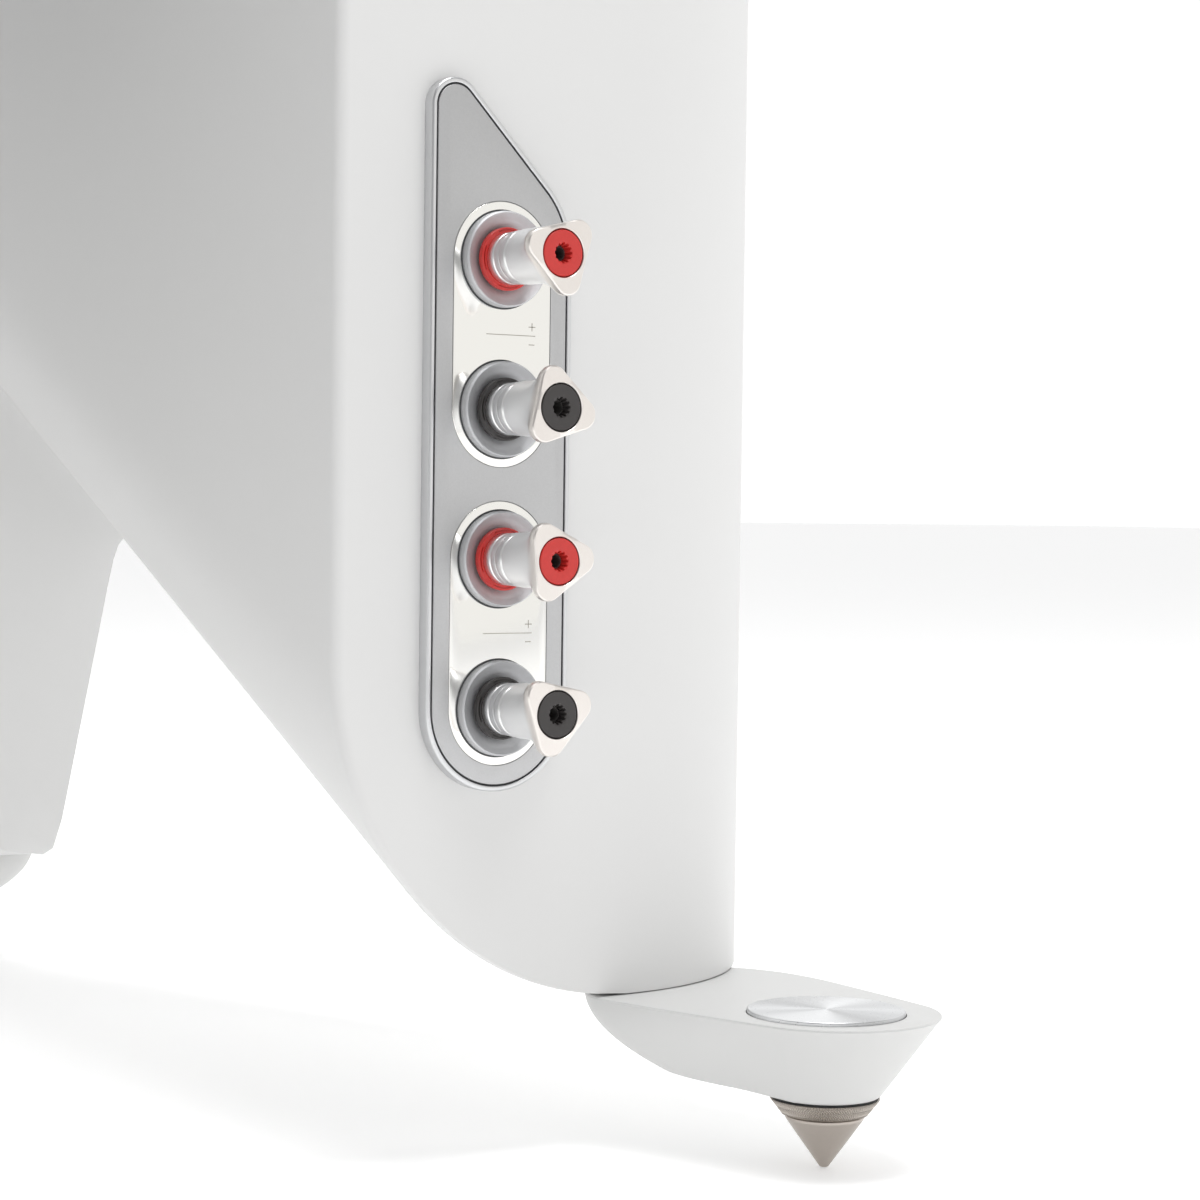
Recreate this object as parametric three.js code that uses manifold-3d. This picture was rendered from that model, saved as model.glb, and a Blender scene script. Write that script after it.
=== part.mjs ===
// Floorstanding speaker: two cabinets that face each other across a gap, a pod with the upper
// drivers between them, and four outrigger feet. Millimetres, +Z up, -Y is the listener's side.
// The origin lies on the floor, under the middle of the speaker.
import * as THREE from 'three';
import { mergeVertices } from 'three/addons/utils/BufferGeometryUtils.js';
import Module from 'manifold-3d';

const wasm = await Module();
wasm.setup();

// ---------------------------------------------------------------- driving dimensions
const GAP = 130;                // between the two cabinets' inner sides
const DEPTH = 440;              // cabinet, rear face to front face
const REAR_Y = DEPTH / 2;       // rear face
const BOTTOM = 44.3;            // cabinet's underside above the floor
const TOP = 1300;               // cabinet's top above the floor
const WALL = 18;                // cabinet wall
const CLEAR = 0.3;              // gap between pieces that touch

const SWELL_R = 80;             // rear outer corner of the cabinet in plan
const SWELL_OUT = 101;          // that corner's centre, outward from the inner side
const SWELL_END = 105.5;        // degrees turned by that corner
const NOSE_R = 60;              // front outer corner in plan
const CUT_R = 100;              // lower inner corner at the rear face
const CUT_RISE = 0.534;         // how fast the cut-back rises towards the front
const CUT_END = 42.3;           // degrees turned by the corner before the slope
const LEG_R = 41;               // lower inner corner of the front leg
const LEG_DEPTH = 30;           // straight part of the front leg
const LEG_RISE = 4;             // steepness of the back of the front leg
const ARCH_BLEND = 24;          // rounding at the crown of the arch between the legs
const TOP_RISE = 0.12;          // fall of the top's inner corner towards the front

const POST_OUT = 51;            // terminal posts, outward from the inner side
const POST_LOW = 130;           // lowest post above the floor
const POST_PITCH = 42;
const POST_COUNT = 4;
const PLATE_HALF = 23.7;        // half width of the terminal plate
const PLATE_TOP = 175.6;        // apex of the plate above the lowest post
const PLATE_THICK = 4;
const APEX_R = 8;               // rounding at the apex
const KNEE_R = 26;              // rounding where the sloping edge meets the upright side
const PLATE_LEAN = 45;          // degrees from upright of the plate's sloping edge
const RIM = 1.6;                // bright rim round the plate
const GROOVE = 0.5;
const INLAY_R = 16.3;
const INLAY_THICK = 1;
const DISH_R = 13.8;
const STUD_R = 3.4;
const SOCKET_R = 2.05;          // takes a 4 mm plug
const SOCKET_FACE_R = 6.4;
const KNOB_R = 7.75;            // round part of the knob
const KNOB_BACK = 16.6;
const KNOB_FACE = 34;

const ARM_THICK = 24.4;
const ARM_END_R = 31;           // round end of the arm, at the top
const REAR_DISC_OUT = 130.7;
const FRONT_DISC_OUT = 70;
const DISC_BEYOND = 54.7;       // disc centre beyond the cabinet's face
const CAP_R = 22.6;
const RING_R = 15.9;
const RING_LOW = 15.3;
const RING_TOP = 19;
const SPIKE_R = 11.6;
const SPIKE_STUD_R = 4;

const BASS_HEIGHTS = [485, 720];
const BASS_DEEP = 200;          // bass driver centres, forward of the rear face
const BASS_R = 104;
const BASS_HOLE_R = 92;
const POD_Z = 1000;
const POD_HALF = GAP / 2 - 0.3;
const POD_LENGTH = 340;
const POD_FRONT_Y = -226;
const POD_BACK_Y = -70;
const POD_WALL = 10;
const MID_OFFSET = 102;
const MID_R = 54;
const MID_HOLE_R = 46.5;
const TWEETER_R = 38;
const TWEETER_HOLE_R = 31;

// ---------------------------------------------------------------- materials
const finish = (color, roughness, metalness) =>
  new THREE.MeshStandardMaterial({ color, roughness, metalness });
const WHITE = finish(0xe6e6e6, 0.45, 0);
const BRIGHT = finish(0xd0d2d4, 0.3, 1);
const PANEL = finish(0xbfc1c4, 0.5, 0.8);
const MIRROR = finish(0xe8e8e4, 0.08, 1);
const NICKEL = finish(0xd8d0c8, 0.3, 1);
const RED = finish(0xc83c38, 0.4, 0);
const BLACK = finish(0x2c2c2e, 0.45, 0);
const SPUN = finish(0xc9ccce, 0.3, 1);
const STEEL = finish(0xada69e, 0.35, 1);
const CONE = finish(0xb9bbbd, 0.5, 0.4);
const BOARD = finish(0x3c5a41, 0.6, 0);

// Facets round a turned piece.
const LARGE = 24;
const MEDIUM = 18;
const SMALL = 12;

// ---------------------------------------------------------------- shape helpers
const degrees = (a) => (a * Math.PI) / 180;

function toManifold(geometry) {
  const bare = geometry.clone();
  bare.deleteAttribute('normal');
  bare.deleteAttribute('uv');
  const merged = mergeVertices(bare, 1e-4);
  return new wasm.Manifold(new wasm.Mesh({
    numProp: 3,
    vertProperties: new Float32Array(merged.attributes.position.array),
    triVerts: new Uint32Array(merged.index.array),
  }));
}

function toGeometry(solid) {
  const mesh = solid.getMesh();
  const geometry = new THREE.BufferGeometry();
  geometry.setAttribute('position', new THREE.BufferAttribute(new Float32Array(mesh.vertProperties), 3));
  geometry.setIndex(new THREE.BufferAttribute(new Uint32Array(mesh.triVerts), 1));
  return geometry;
}

function cut(geometry, ...tools) {
  let solid = toManifold(geometry);
  for (const tool of tools) solid = solid.subtract(toManifold(tool));
  return toGeometry(solid);
}

function join(...geometries) {
  let solid = toManifold(geometries[0]);
  for (const other of geometries.slice(1)) solid = solid.add(toManifold(other));
  return toGeometry(solid);
}

// Turned piece: profile points are [radius, height] and the axis is +Z.
function turned(profile, segments) {
  const points = profile.map(([r, h]) => new THREE.Vector2(r, h));
  return new THREE.LatheGeometry(points, segments).rotateX(Math.PI / 2);
}

function turnedRing(profile, segments) {
  return turned([...profile, profile[0]], segments);
}

const rod = (radius, low, high, segments) =>
  turned([[0, low], [radius, low], [radius, high], [0, high]], segments);

// Swaps the winding after a mirror, so that faces point out again.
function mirroredX(geometry) {
  const flipped = geometry.clone().scale(-1, 1, 1);
  if (!flipped.index) {
    const count = flipped.attributes.position.count;
    flipped.setIndex([...Array(count).keys()]);
  }
  const index = flipped.index.array;
  for (let i = 0; i < index.length; i += 3) {
    [index[i + 1], index[i + 2]] = [index[i + 2], index[i + 1]];
  }
  return flipped;
}

// Closed skin over rings of equal length, with a fan over each end.
function loft(rings) {
  const count = rings[0].length;
  const vertices = rings.flat();
  const triangles = [];
  for (let k = 0; k < rings.length - 1; k += 1) {
    for (let i = 0; i < count; i += 1) {
      const a = k * count + i;
      const b = k * count + ((i + 1) % count);
      triangles.push(a, b, b + count, a, b + count, a + count);
    }
  }
  for (const [ring, start, flip] of [[rings[0], 0, true], [rings.at(-1), vertices.length - count, false]]) {
    const centre = [0, 1, 2].map((axis) => ring.reduce((sum, p) => sum + p[axis], 0) / count);
    const hub = vertices.push(centre) - 1;
    for (let i = 0; i < count; i += 1) {
      const a = start + i;
      const b = start + ((i + 1) % count);
      triangles.push(...(flip ? [b, a, hub] : [a, b, hub]));
    }
  }
  const geometry = new THREE.BufferGeometry();
  geometry.setAttribute('position', new THREE.Float32BufferAttribute(vertices.flat(), 3));
  geometry.setIndex(triangles);
  return geometry;
}

// ---------------------------------------------------------------- cabinet form
// A cabinet is described by three lengths: out, from its inner side outward; deep, from its rear
// face forward; up, above the floor. The left cabinet stands at negative X.
const place = (out, deep, up) => [-(GAP / 2 + out), REAR_Y - deep, up];

const SWELL_TAN = Math.tan(degrees(SWELL_END - 90));
const SWELL_EXIT_OUT = SWELL_OUT + SWELL_R * Math.sin(degrees(SWELL_END));
const SWELL_EXIT_DEEP = SWELL_R * (1 - Math.cos(degrees(SWELL_END)));
const NOSE_DEEP = DEPTH - NOSE_R;
const sideLine = (deep) => SWELL_EXIT_OUT - SWELL_TAN * (deep - SWELL_EXIT_DEEP);
const NOSE_OUT = sideLine(NOSE_DEEP) - NOSE_R / Math.cos(degrees(SWELL_END - 90));
const NOSE_ENTRY_DEEP = NOSE_DEEP + NOSE_R * Math.sin(degrees(SWELL_END - 90));

// Outer side of the cabinet in plan: a large rear corner, a straight taper, a smaller front corner.
function outerSide(deep) {
  if (deep < SWELL_EXIT_DEEP) {
    return SWELL_OUT + Math.sqrt(SWELL_R ** 2 - (SWELL_R - deep) ** 2);
  }
  if (deep < NOSE_ENTRY_DEEP) return sideLine(deep);
  return NOSE_OUT + Math.sqrt(Math.max(0, NOSE_R ** 2 - (deep - NOSE_DEEP) ** 2));
}

// Lower edge of a section whose inner corner is rounded, then slopes, then rounds to flat.
function cornerRise(out, radius, rise, deep) {
  const slope = Math.tan(degrees(90 - CUT_END));
  const lift = rise * deep;
  const shift = lift / slope;
  const firstEnd = radius * (1 - Math.cos(degrees(CUT_END)));
  if (out < firstEnd) {
    return lift + radius - Math.sqrt(radius ** 2 - (radius - out) ** 2);
  }
  if (out < firstEnd + shift) {
    return lift + radius * (1 - Math.sin(degrees(CUT_END))) - slope * (out - firstEnd);
  }
  if (out < radius + shift) {
    return radius - Math.sqrt(radius ** 2 - (radius + shift - out) ** 2);
  }
  return 0;
}

// Smaller of two heights, with a fillet where they cross.
function smoothMin(a, b, blend) {
  const overlap = Math.max(blend - Math.abs(a - b), 0);
  return Math.min(a, b) - (overlap * overlap) / (4 * blend);
}

function underside(out, deep) {
  const rear = cornerRise(out, CUT_R, CUT_RISE, deep);
  const front = cornerRise(out, LEG_R, LEG_RISE, Math.max(0, DEPTH - deep - LEG_DEPTH));
  return BOTTOM + Math.max(0, smoothMin(rear, front, ARCH_BLEND));
}

const topside = (out, deep) => TOP - cornerRise(out, CUT_R, TOP_RISE, deep);

// Solid between a lower and an upper height over a plan given row by row.
function blockBetween(rows, fractions, inner, outer, low, high) {
  const across = fractions.length;
  const vertices = [];
  for (const height of [low, high]) {
    for (const deep of rows) {
      for (const fraction of fractions) {
        const out = inner + (outer(deep) - inner) * fraction;
        vertices.push(...place(out, deep, height(out, deep)));
      }
    }
  }
  const at = (level, row, column) => (level * rows.length + row) * across + column;
  const triangles = [];
  const quad = (a, b, c, d) => triangles.push(a, b, c, a, c, d);
  for (let r = 0; r < rows.length - 1; r += 1) {
    for (let c = 0; c < across - 1; c += 1) {
      quad(at(0, r, c), at(0, r + 1, c), at(0, r + 1, c + 1), at(0, r, c + 1));
      quad(at(1, r, c), at(1, r, c + 1), at(1, r + 1, c + 1), at(1, r + 1, c));
    }
    quad(at(0, r, 0), at(1, r, 0), at(1, r + 1, 0), at(0, r + 1, 0));
    quad(at(0, r + 1, across - 1), at(1, r + 1, across - 1), at(1, r, across - 1), at(0, r, across - 1));
  }
  const last = rows.length - 1;
  for (let c = 0; c < across - 1; c += 1) {
    quad(at(0, 0, c), at(0, 0, c + 1), at(1, 0, c + 1), at(1, 0, c));
    quad(at(0, last, c + 1), at(0, last, c), at(1, last, c), at(1, last, c + 1));
  }
  const geometry = new THREE.BufferGeometry();
  geometry.setAttribute('position', new THREE.Float32BufferAttribute(vertices, 3));
  geometry.setIndex(triangles);
  return geometry;
}

// Rows close up where the plan turns, and columns where the section turns.
function spacedRows() {
  const rear = [0, 15, 30, 45, 60, 78, 96].map((a) => SWELL_R * (1 - Math.cos(degrees(a))));
  const middle = [140, 185, 230, 270, 300, 320, 335, 350, 365];
  const front = [10, 30, 50, 70, 90].map((a) => NOSE_DEEP + NOSE_R * Math.sin(degrees(a)));
  return [...rear, ...middle, ...front];
}
const COLUMNS = [0, 0.008, 0.03, 0.07, 0.13, 0.2, 0.29, 0.39, 0.5, 0.62, 0.74, 0.87, 1];
const CAVITY_COLUMNS = [0, 0.03, 0.12, 0.26, 0.45, 0.7, 1];
const CAVITY_ROWS = [WALL, 40, 90, 170, 250, 300, 350, 380, DEPTH - WALL];

const BOARD_HALF = 125;          // half width of the board that carries the bass drivers
const BOARD_LOW = BASS_HEIGHTS[0] - 120;
const BOARD_HIGH = BASS_HEIGHTS[1] + 120;

function windowBlock(grow) {
  const height = BOARD_HIGH - BOARD_LOW + 2 * grow;
  const block = new THREE.BoxGeometry(WALL + 2 * grow, 2 * BOARD_HALF + 2 * grow, height);
  const [x, y] = place(WALL / 2, BASS_DEEP, 0);
  return block.translate(x, y, (BOARD_LOW + BOARD_HIGH) / 2);
}

function cabinetShell() {
  const outside = blockBetween(spacedRows(), COLUMNS, 0, outerSide, underside, topside);
  const cavity = blockBetween(
    CAVITY_ROWS, CAVITY_COLUMNS, WALL, (deep) => outerSide(deep) - WALL,
    (out, deep) => underside(out - WALL / 2, deep) + WALL * 1.6,
    (out, deep) => topside(out - WALL / 2, deep) - WALL * 1.6,
  );
  return cut(outside, cavity, windowBlock(CLEAR));
}

function alongX(geometry, deep, up) {
  const [x, y, z] = place(0, deep, up);
  return geometry.clone().rotateY(Math.PI / 2).translate(x, y, z);
}

function baffleBoard() {
  const tools = BASS_HEIGHTS.flatMap((up) => [
    alongX(rod(BASS_HOLE_R, -WALL - 2, 2, LARGE), BASS_DEEP, up),
    alongX(rod(BASS_R + 1, -4.8, 2, LARGE), BASS_DEEP, up),
  ]);
  return cut(windowBlock(0), ...tools);
}

// ---------------------------------------------------------------- drivers
// Profiles run along the driver's own axis: zero is the flange's front, negative is behind it.
const bassChassis = () => turned([
  [0, -96], [60, -96], [60, -66], [51, -64], [91, -13], [91, -4.5], [BASS_R, -4.5], [BASS_R, 0],
  [88.5, 0], [88, -13], [49, -61], [0, -61],
], LARGE);

const bassCone = () => turned([
  [0, -28], [24, -29], [24, -52], [27, -52], [27, -32], [79, -9.5], [79, -6], [30, -27], [0, -21],
], LARGE);

const midChassis = () => turned([
  [0, -58], [36, -58], [36, -40], [31, -38], [45.5, -9], [45.5, -3.5], [MID_R, -3.5], [MID_R, 0],
  [44, 0], [43.5, -9], [31, -35], [0, -35],
], MEDIUM);

const midCone = () => turned([
  [0, -16], [13, -17], [13, -30], [15, -30], [15, -19], [38, -6], [38, -3.5], [17, -15.5], [0, -11.5],
], MEDIUM);

const tweeterPlate = () => turned([
  [0, -34], [30, -34], [30, -4], [TWEETER_R, -4], [TWEETER_R, 0], [32, 0], [15.5, -5.5], [15.5, -11],
  [0, -11],
], MEDIUM);

const tweeterDome = () => turned([
  [0, -6], [12.5, -9.8], [13.8, -9.8], [13.8, -8], [12.6, -7.2], [8, -3.4], [0, -1.8],
], SMALL);

// ---------------------------------------------------------------- centre pod
function capsule(half, length) {
  const straight = length / 2 - half;
  const shape = new THREE.Shape();
  shape.absarc(0, straight, half, 0, Math.PI, false);
  shape.absarc(0, -straight, half, Math.PI, 2 * Math.PI, false);
  shape.closePath();
  return shape;
}

// Extrudes an upright outline from a front plane back to a rear plane.
function extrudedBack(shape, frontY, backY) {
  const geometry = new THREE.ExtrudeGeometry(shape, {
    depth: backY - frontY, bevelEnabled: false, curveSegments: 10,
  });
  return geometry.rotateX(Math.PI / 2).translate(0, backY, 0);
}

function alongY(geometry, up, frontY) {
  return geometry.clone().rotateX(Math.PI / 2).translate(0, frontY, up);
}

const POD_DRIVERS = [
  { up: POD_Z + MID_OFFSET, hole: MID_HOLE_R, rebate: MID_R, depth: 3.8 },
  { up: POD_Z, hole: TWEETER_HOLE_R, rebate: TWEETER_R, depth: 4.3 },
  { up: POD_Z - MID_OFFSET, hole: MID_HOLE_R, rebate: MID_R, depth: 3.8 },
];

function podHousing() {
  const outline = capsule(POD_HALF, POD_LENGTH);
  const outside = extrudedBack(outline, POD_FRONT_Y, POD_BACK_Y).translate(0, 0, POD_Z);
  const hollow = extrudedBack(
    capsule(POD_HALF - POD_WALL, POD_LENGTH - 2 * POD_WALL),
    POD_FRONT_Y + POD_WALL, POD_BACK_Y - POD_WALL,
  ).translate(0, 0, POD_Z);
  const holes = POD_DRIVERS.flatMap(({ up, hole, rebate, depth }) => [
    alongY(rod(hole, -POD_WALL - 2, 2, MEDIUM), up, POD_FRONT_Y),
    alongY(rod(rebate + 0.8, -depth, 2, MEDIUM), up, POD_FRONT_Y),
  ]);
  return cut(outside, hollow, ...holes);
}

// ---------------------------------------------------------------- terminal plate
// Outlines are drawn as seen from behind the speaker, with the lowest post as the origin.

// Plate outline pulled in by an inset: round foot, straight sides, sloping shoulder.
function plateOutline(inset) {
  const half = PLATE_HALF - inset;
  const apexR = APEX_R - inset;
  const kneeR = KNEE_R - inset;
  const apexX = -half + apexR;
  const apexY = PLATE_TOP - APEX_R;
  const lean = degrees(PLATE_LEAN);
  const kneeX = half - kneeR;
  const run = (kneeX + kneeR * Math.cos(lean)) - (apexX + apexR * Math.cos(lean));
  const kneeY = apexY + (apexR - kneeR) * Math.sin(lean) - run / Math.tan(lean);
  const shape = new THREE.Shape();
  shape.absarc(0, 0, half, Math.PI, 2 * Math.PI, false);
  shape.absarc(kneeX, kneeY, kneeR, 0, lean, false);
  shape.absarc(apexX, apexY, apexR, lean, Math.PI, false);
  shape.closePath();
  return shape;
}

function stadium(radius, low, high) {
  const shape = new THREE.Shape();
  shape.absarc(0, low, radius, Math.PI, 2 * Math.PI, false);
  shape.absarc(0, high, radius, 0, Math.PI, false);
  shape.closePath();
  return shape;
}

// Stands an outline up on the cabinet's rear face, between two heights off that face.
function onRear(shape, from, to) {
  const geometry = new THREE.ExtrudeGeometry(shape, {
    depth: to - from, bevelEnabled: false, curveSegments: 8,
  });
  const [x, y, z] = place(POST_OUT, 0, POST_LOW);
  return geometry.translate(0, 0, from).rotateX(Math.PI / 2).rotateZ(Math.PI).translate(x, y, z);
}

function postPlaced(geometry, index) {
  const [x, y, z] = place(POST_OUT, 0, POST_LOW + POST_PITCH * index);
  return geometry.clone().rotateX(Math.PI / 2).rotateZ(Math.PI).translate(x, y, z);
}

const INLAYS = [{ name: 'low_inlay', first: 0 }, { name: 'high_inlay', first: 2 }];
const inlaySpan = (first) => [POST_PITCH * first, POST_PITCH * (first + 1)];

function terminalBezel() {
  return cut(onRear(plateOutline(0), CLEAR, PLATE_THICK), onRear(plateOutline(RIM), 0, PLATE_THICK + 1));
}

function terminalPanel() {
  const floor = PLATE_THICK - INLAY_THICK - CLEAR;
  const recesses = INLAYS.map(({ first }) =>
    onRear(stadium(INLAY_R + CLEAR, ...inlaySpan(first)), floor, PLATE_THICK + 1));
  return cut(onRear(plateOutline(RIM + GROOVE), CLEAR, PLATE_THICK), ...recesses);
}

// Mirror inlay with a dished boss round each of its two posts.
function inlay(first) {
  const plate = onRear(stadium(INLAY_R, ...inlaySpan(first)), PLATE_THICK - INLAY_THICK, PLATE_THICK);
  const boss = turned([[0, 3.2], [DISH_R, 3.2], [DISH_R, 6.4], [13, 7], [9.4, 5], [0, 5]], MEDIUM);
  return join(plate, postPlaced(boss, first), postPlaced(boss, first + 1));
}

// ---------------------------------------------------------------- binding posts
const LOBES = 3;
const KNOB_STEPS = 24;

const collar = () => turnedRing([[5.2, 5.3], [8.75, 5.3], [8.75, 6.8], [5.2, 6.8]], SMALL);

const postStem = () => turned([
  [0, 5.3], [4.8, 5.3], [4.8, 7.1], [7.9, 7.1], [7.7, 13], [STUD_R, 13], [STUD_R, 18], [0, 18],
], SMALL);

const clampRing = () => turnedRing([
  [STUD_R + 0.4, 13.4], [7.6, 13.4], [7.6, 16.2], [STUD_R + 0.4, 16.2],
], SMALL);

// Radius of the three-lobed rim in a direction measured from a lobe.
function lobeRadius(angle, flare) {
  const wave = (1 + Math.cos(LOBES * angle)) / 2;
  return KNOB_R + flare * (0.45 + 3.6 * wave ** 1.25);
}

function knob(lobeAngle) {
  const levels = [[KNOB_BACK, 0], [23.5, 0], [28, 0.3], [32, 0.95], [KNOB_FACE, 1]];
  const rings = levels.map(([height, flare]) => {
    const ring = [];
    for (let i = 0; i < KNOB_STEPS; i += 1) {
      const angle = (2 * Math.PI * i) / KNOB_STEPS;
      const radius = lobeRadius(angle, flare);
      const turn = angle + degrees(lobeAngle);
      ring.push([radius * Math.cos(turn), radius * Math.sin(turn), height]);
    }
    return ring;
  });
  const bore = rod(STUD_R + 0.6, KNOB_BACK - 1, 29, SMALL);
  return cut(loft(rings), bore, rod(SOCKET_FACE_R + CLEAR, 28.5, KNOB_FACE + 1, MEDIUM));
}

// Plastic socket: a flange that fills the knob's face and a sleeve that guides the plug.
const socketInsert = () => turnedRing([
  [SOCKET_R, 20], [3.5, 20], [3.5, 28.8], [SOCKET_FACE_R, 28.8], [SOCKET_FACE_R, KNOB_FACE + 0.1],
  [SOCKET_R, 32.4],
], SMALL);

// Directions of the first lobe of each knob, lowest post first, as they were left when tightened.
const LOBE_ANGLES = [18, 4.5, 107, 44];

// ---------------------------------------------------------------- outrigger feet
// An arm is lofted from its top outline down to its smaller foot. In its own plane, x runs outward
// and y runs away from the cabinet; the disc's centre is the origin.
const ARM_TOP = BOTTOM - CLEAR;
const ARM_LEVELS = [0, 0.3, 0.65, 1];
const ARM_SWEEP = 1.9;          // how late the inboard side draws in on its way down
const CAP_SEAT = 2.5;           // depth of the recess for the cap
const FOOT_R = 15.6;
// Inboard part of the outline, at the top and at the foot.
const INBOARD = [
  [[-32.5, -20], [-17.2, -20]], [[-36.5, -38], [-19, -36]], [[-39.5, -52], [-19, -46]],
  [[-39.5, -66], [-15.5, -54]], [[-30.5, -79], [-9, -58]], [[-13, -88], [-2, -59]], [[8, -92], [6, -59]],
  [[26, -87], [12, -57]], [[36, -72], [17, -52]], [[38.5, -52], [18, -42]], [[37, -25], [17, -20]],
];
const mix = (a, b, t) => a + (b - a) * t;

function armRing(level) {
  const swept = level ** ARM_SWEEP;
  const radius = mix(ARM_END_R, FOOT_R, level);
  const centreX = mix(2.8, 0, level);
  const ring = [];
  for (let i = 0; i <= 9; i += 1) {
    const angle = degrees(mix(-4, 194, i / 9));
    ring.push([centreX + radius * Math.cos(angle), radius * Math.sin(angle)]);
  }
  for (const [top, foot] of INBOARD) {
    ring.push([mix(top[0], foot[0], swept), mix(top[1], foot[1], swept)]);
  }
  return ring;
}

function arm() {
  const rings = ARM_LEVELS.map((level) =>
    armRing(level).map(([x, y]) => [x, y, ARM_TOP - level * ARM_THICK]));
  const capSeat = rod(CAP_R + 2 * CLEAR, ARM_TOP - CAP_SEAT, ARM_TOP + 1, LARGE);
  const studHole = rod(SPIKE_STUD_R + 0.5, 10, 37, SMALL);
  return cut(loft(rings.reverse()), capSeat, studHole);
}

const cap = () => turned([
  [0, ARM_TOP - 2.2], [CAP_R, ARM_TOP - 2.2], [CAP_R, ARM_TOP + 1.1], [0, ARM_TOP + 1.1],
], LARGE);

const levellingRing = () => turnedRing([
  [SPIKE_STUD_R + 0.5, RING_LOW], [12.3, RING_LOW], [RING_R, RING_TOP], [SPIKE_STUD_R + 0.5, RING_TOP],
], MEDIUM);

const spike = () => turned([
  [0, 0], [1.2, 0], [SPIKE_R, 14.4], [SPIKE_R, 15], [SPIKE_STUD_R, 15], [SPIKE_STUD_R, 35.5], [0, 35.5],
], MEDIUM);

const FEET = [
  { name: 'rear', out: REAR_DISC_OUT, y: REAR_Y + DISC_BEYOND, facing: 1 },
  { name: 'front', out: FRONT_DISC_OUT, y: -REAR_Y - DISC_BEYOND, facing: -1 },
];

// Local x of an arm runs outward, which is towards -X on the left cabinet.
function footPlaced(geometry, { out, y, facing }) {
  const turnedFoot = facing > 0 ? mirroredX(geometry) : geometry.clone().rotateZ(Math.PI);
  return turnedFoot.translate(-(GAP / 2 + out), y, 0);
}

// ---------------------------------------------------------------- crossover
function crossover() {
  const board = new THREE.BoxGeometry(80, 2.4, 150);
  const [x, y, z] = place(72, 62, 245);
  board.translate(x, y, z);
  const parts = [[-18, -45, 17, 18], [18, -40, 13, 14], [-16, 10, 15, 20], [20, 20, 11, 26],
    [0, 55, 10, 22]]
    .map(([dx, dz, radius, height]) =>
      rod(radius, -1, height, SMALL).rotateX(Math.PI / 2).translate(x + dx, y, z + dz));
  return join(board, ...parts);
}

// ---------------------------------------------------------------- assembly
const speaker = new THREE.Group();

function add(group, name, geometry, material) {
  const mesh = new THREE.Mesh(geometry, material);
  mesh.name = name;
  group.add(mesh);
}

function buildSide(side) {
  const group = new THREE.Group();
  const handed = (geometry) => (side === 'left' ? geometry : mirroredX(geometry));
  add(group, `${side}_cabinet`, handed(cabinetShell()), WHITE);
  add(group, `${side}_baffle_board`, handed(baffleBoard()), WHITE);
  for (const [i, level] of ['lower', 'upper'].entries()) {
    const up = BASS_HEIGHTS[i];
    add(group, `${side}_${level}_bass_chassis`, handed(alongX(bassChassis(), BASS_DEEP, up)), BLACK);
    add(group, `${side}_${level}_bass_cone`, handed(alongX(bassCone(), BASS_DEEP, up)), CONE);
  }
  for (const foot of FEET) {
    const label = `${side}_${foot.name}`;
    add(group, `${label}_arm`, handed(footPlaced(arm(), foot)), WHITE);
    add(group, `${label}_cap`, handed(footPlaced(cap(), foot)), SPUN);
    add(group, `${label}_levelling_ring`, handed(footPlaced(levellingRing(), foot)), STEEL);
    add(group, `${label}_spike`, handed(footPlaced(spike(), foot)), STEEL);
  }
  return group;
}

function buildPod() {
  const group = new THREE.Group();
  add(group, 'pod_housing', podHousing(), WHITE);
  for (const [label, offset] of [['upper', MID_OFFSET], ['lower', -MID_OFFSET]]) {
    add(group, `${label}_mid_chassis`, alongY(midChassis(), POD_Z + offset, POD_FRONT_Y), BLACK);
    add(group, `${label}_mid_cone`, alongY(midCone(), POD_Z + offset, POD_FRONT_Y), CONE);
  }
  add(group, 'tweeter_plate', alongY(tweeterPlate(), POD_Z, POD_FRONT_Y), BLACK);
  add(group, 'tweeter_dome', alongY(tweeterDome(), POD_Z, POD_FRONT_Y), BRIGHT);
  return group;
}

function buildTerminals() {
  const group = new THREE.Group();
  add(group, 'terminal_bezel', terminalBezel(), BRIGHT);
  add(group, 'terminal_panel', terminalPanel(), PANEL);
  for (const { name, first } of INLAYS) add(group, name, inlay(first), MIRROR);
  for (let i = 0; i < POST_COUNT; i += 1) {
    const colour = i % 2 ? RED : BLACK;
    add(group, `post_${i + 1}_collar`, postPlaced(collar(), i), colour);
    add(group, `post_${i + 1}_stem`, postPlaced(postStem(), i), BRIGHT);
    add(group, `post_${i + 1}_clamp_ring`, postPlaced(clampRing(), i), BRIGHT);
    add(group, `post_${i + 1}_knob`, postPlaced(knob(LOBE_ANGLES[i]), i), NICKEL);
    add(group, `post_${i + 1}_socket`, postPlaced(socketInsert(), i), colour);
  }
  return group;
}

speaker.add(buildSide('left'), buildSide('right'), buildPod(), buildTerminals());
add(speaker, 'crossover_board', crossover(), BOARD);

export default speaker;
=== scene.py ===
# %% [markdown]
# # A floorstanding speaker, seen from behind
# The working model already holds every piece at its true size. This lesson dresses it: each piece is
# rebuilt finely in the same place, gets a finish of its own, and rides on the body it belongs to.

# %% Load the working model
import math

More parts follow.
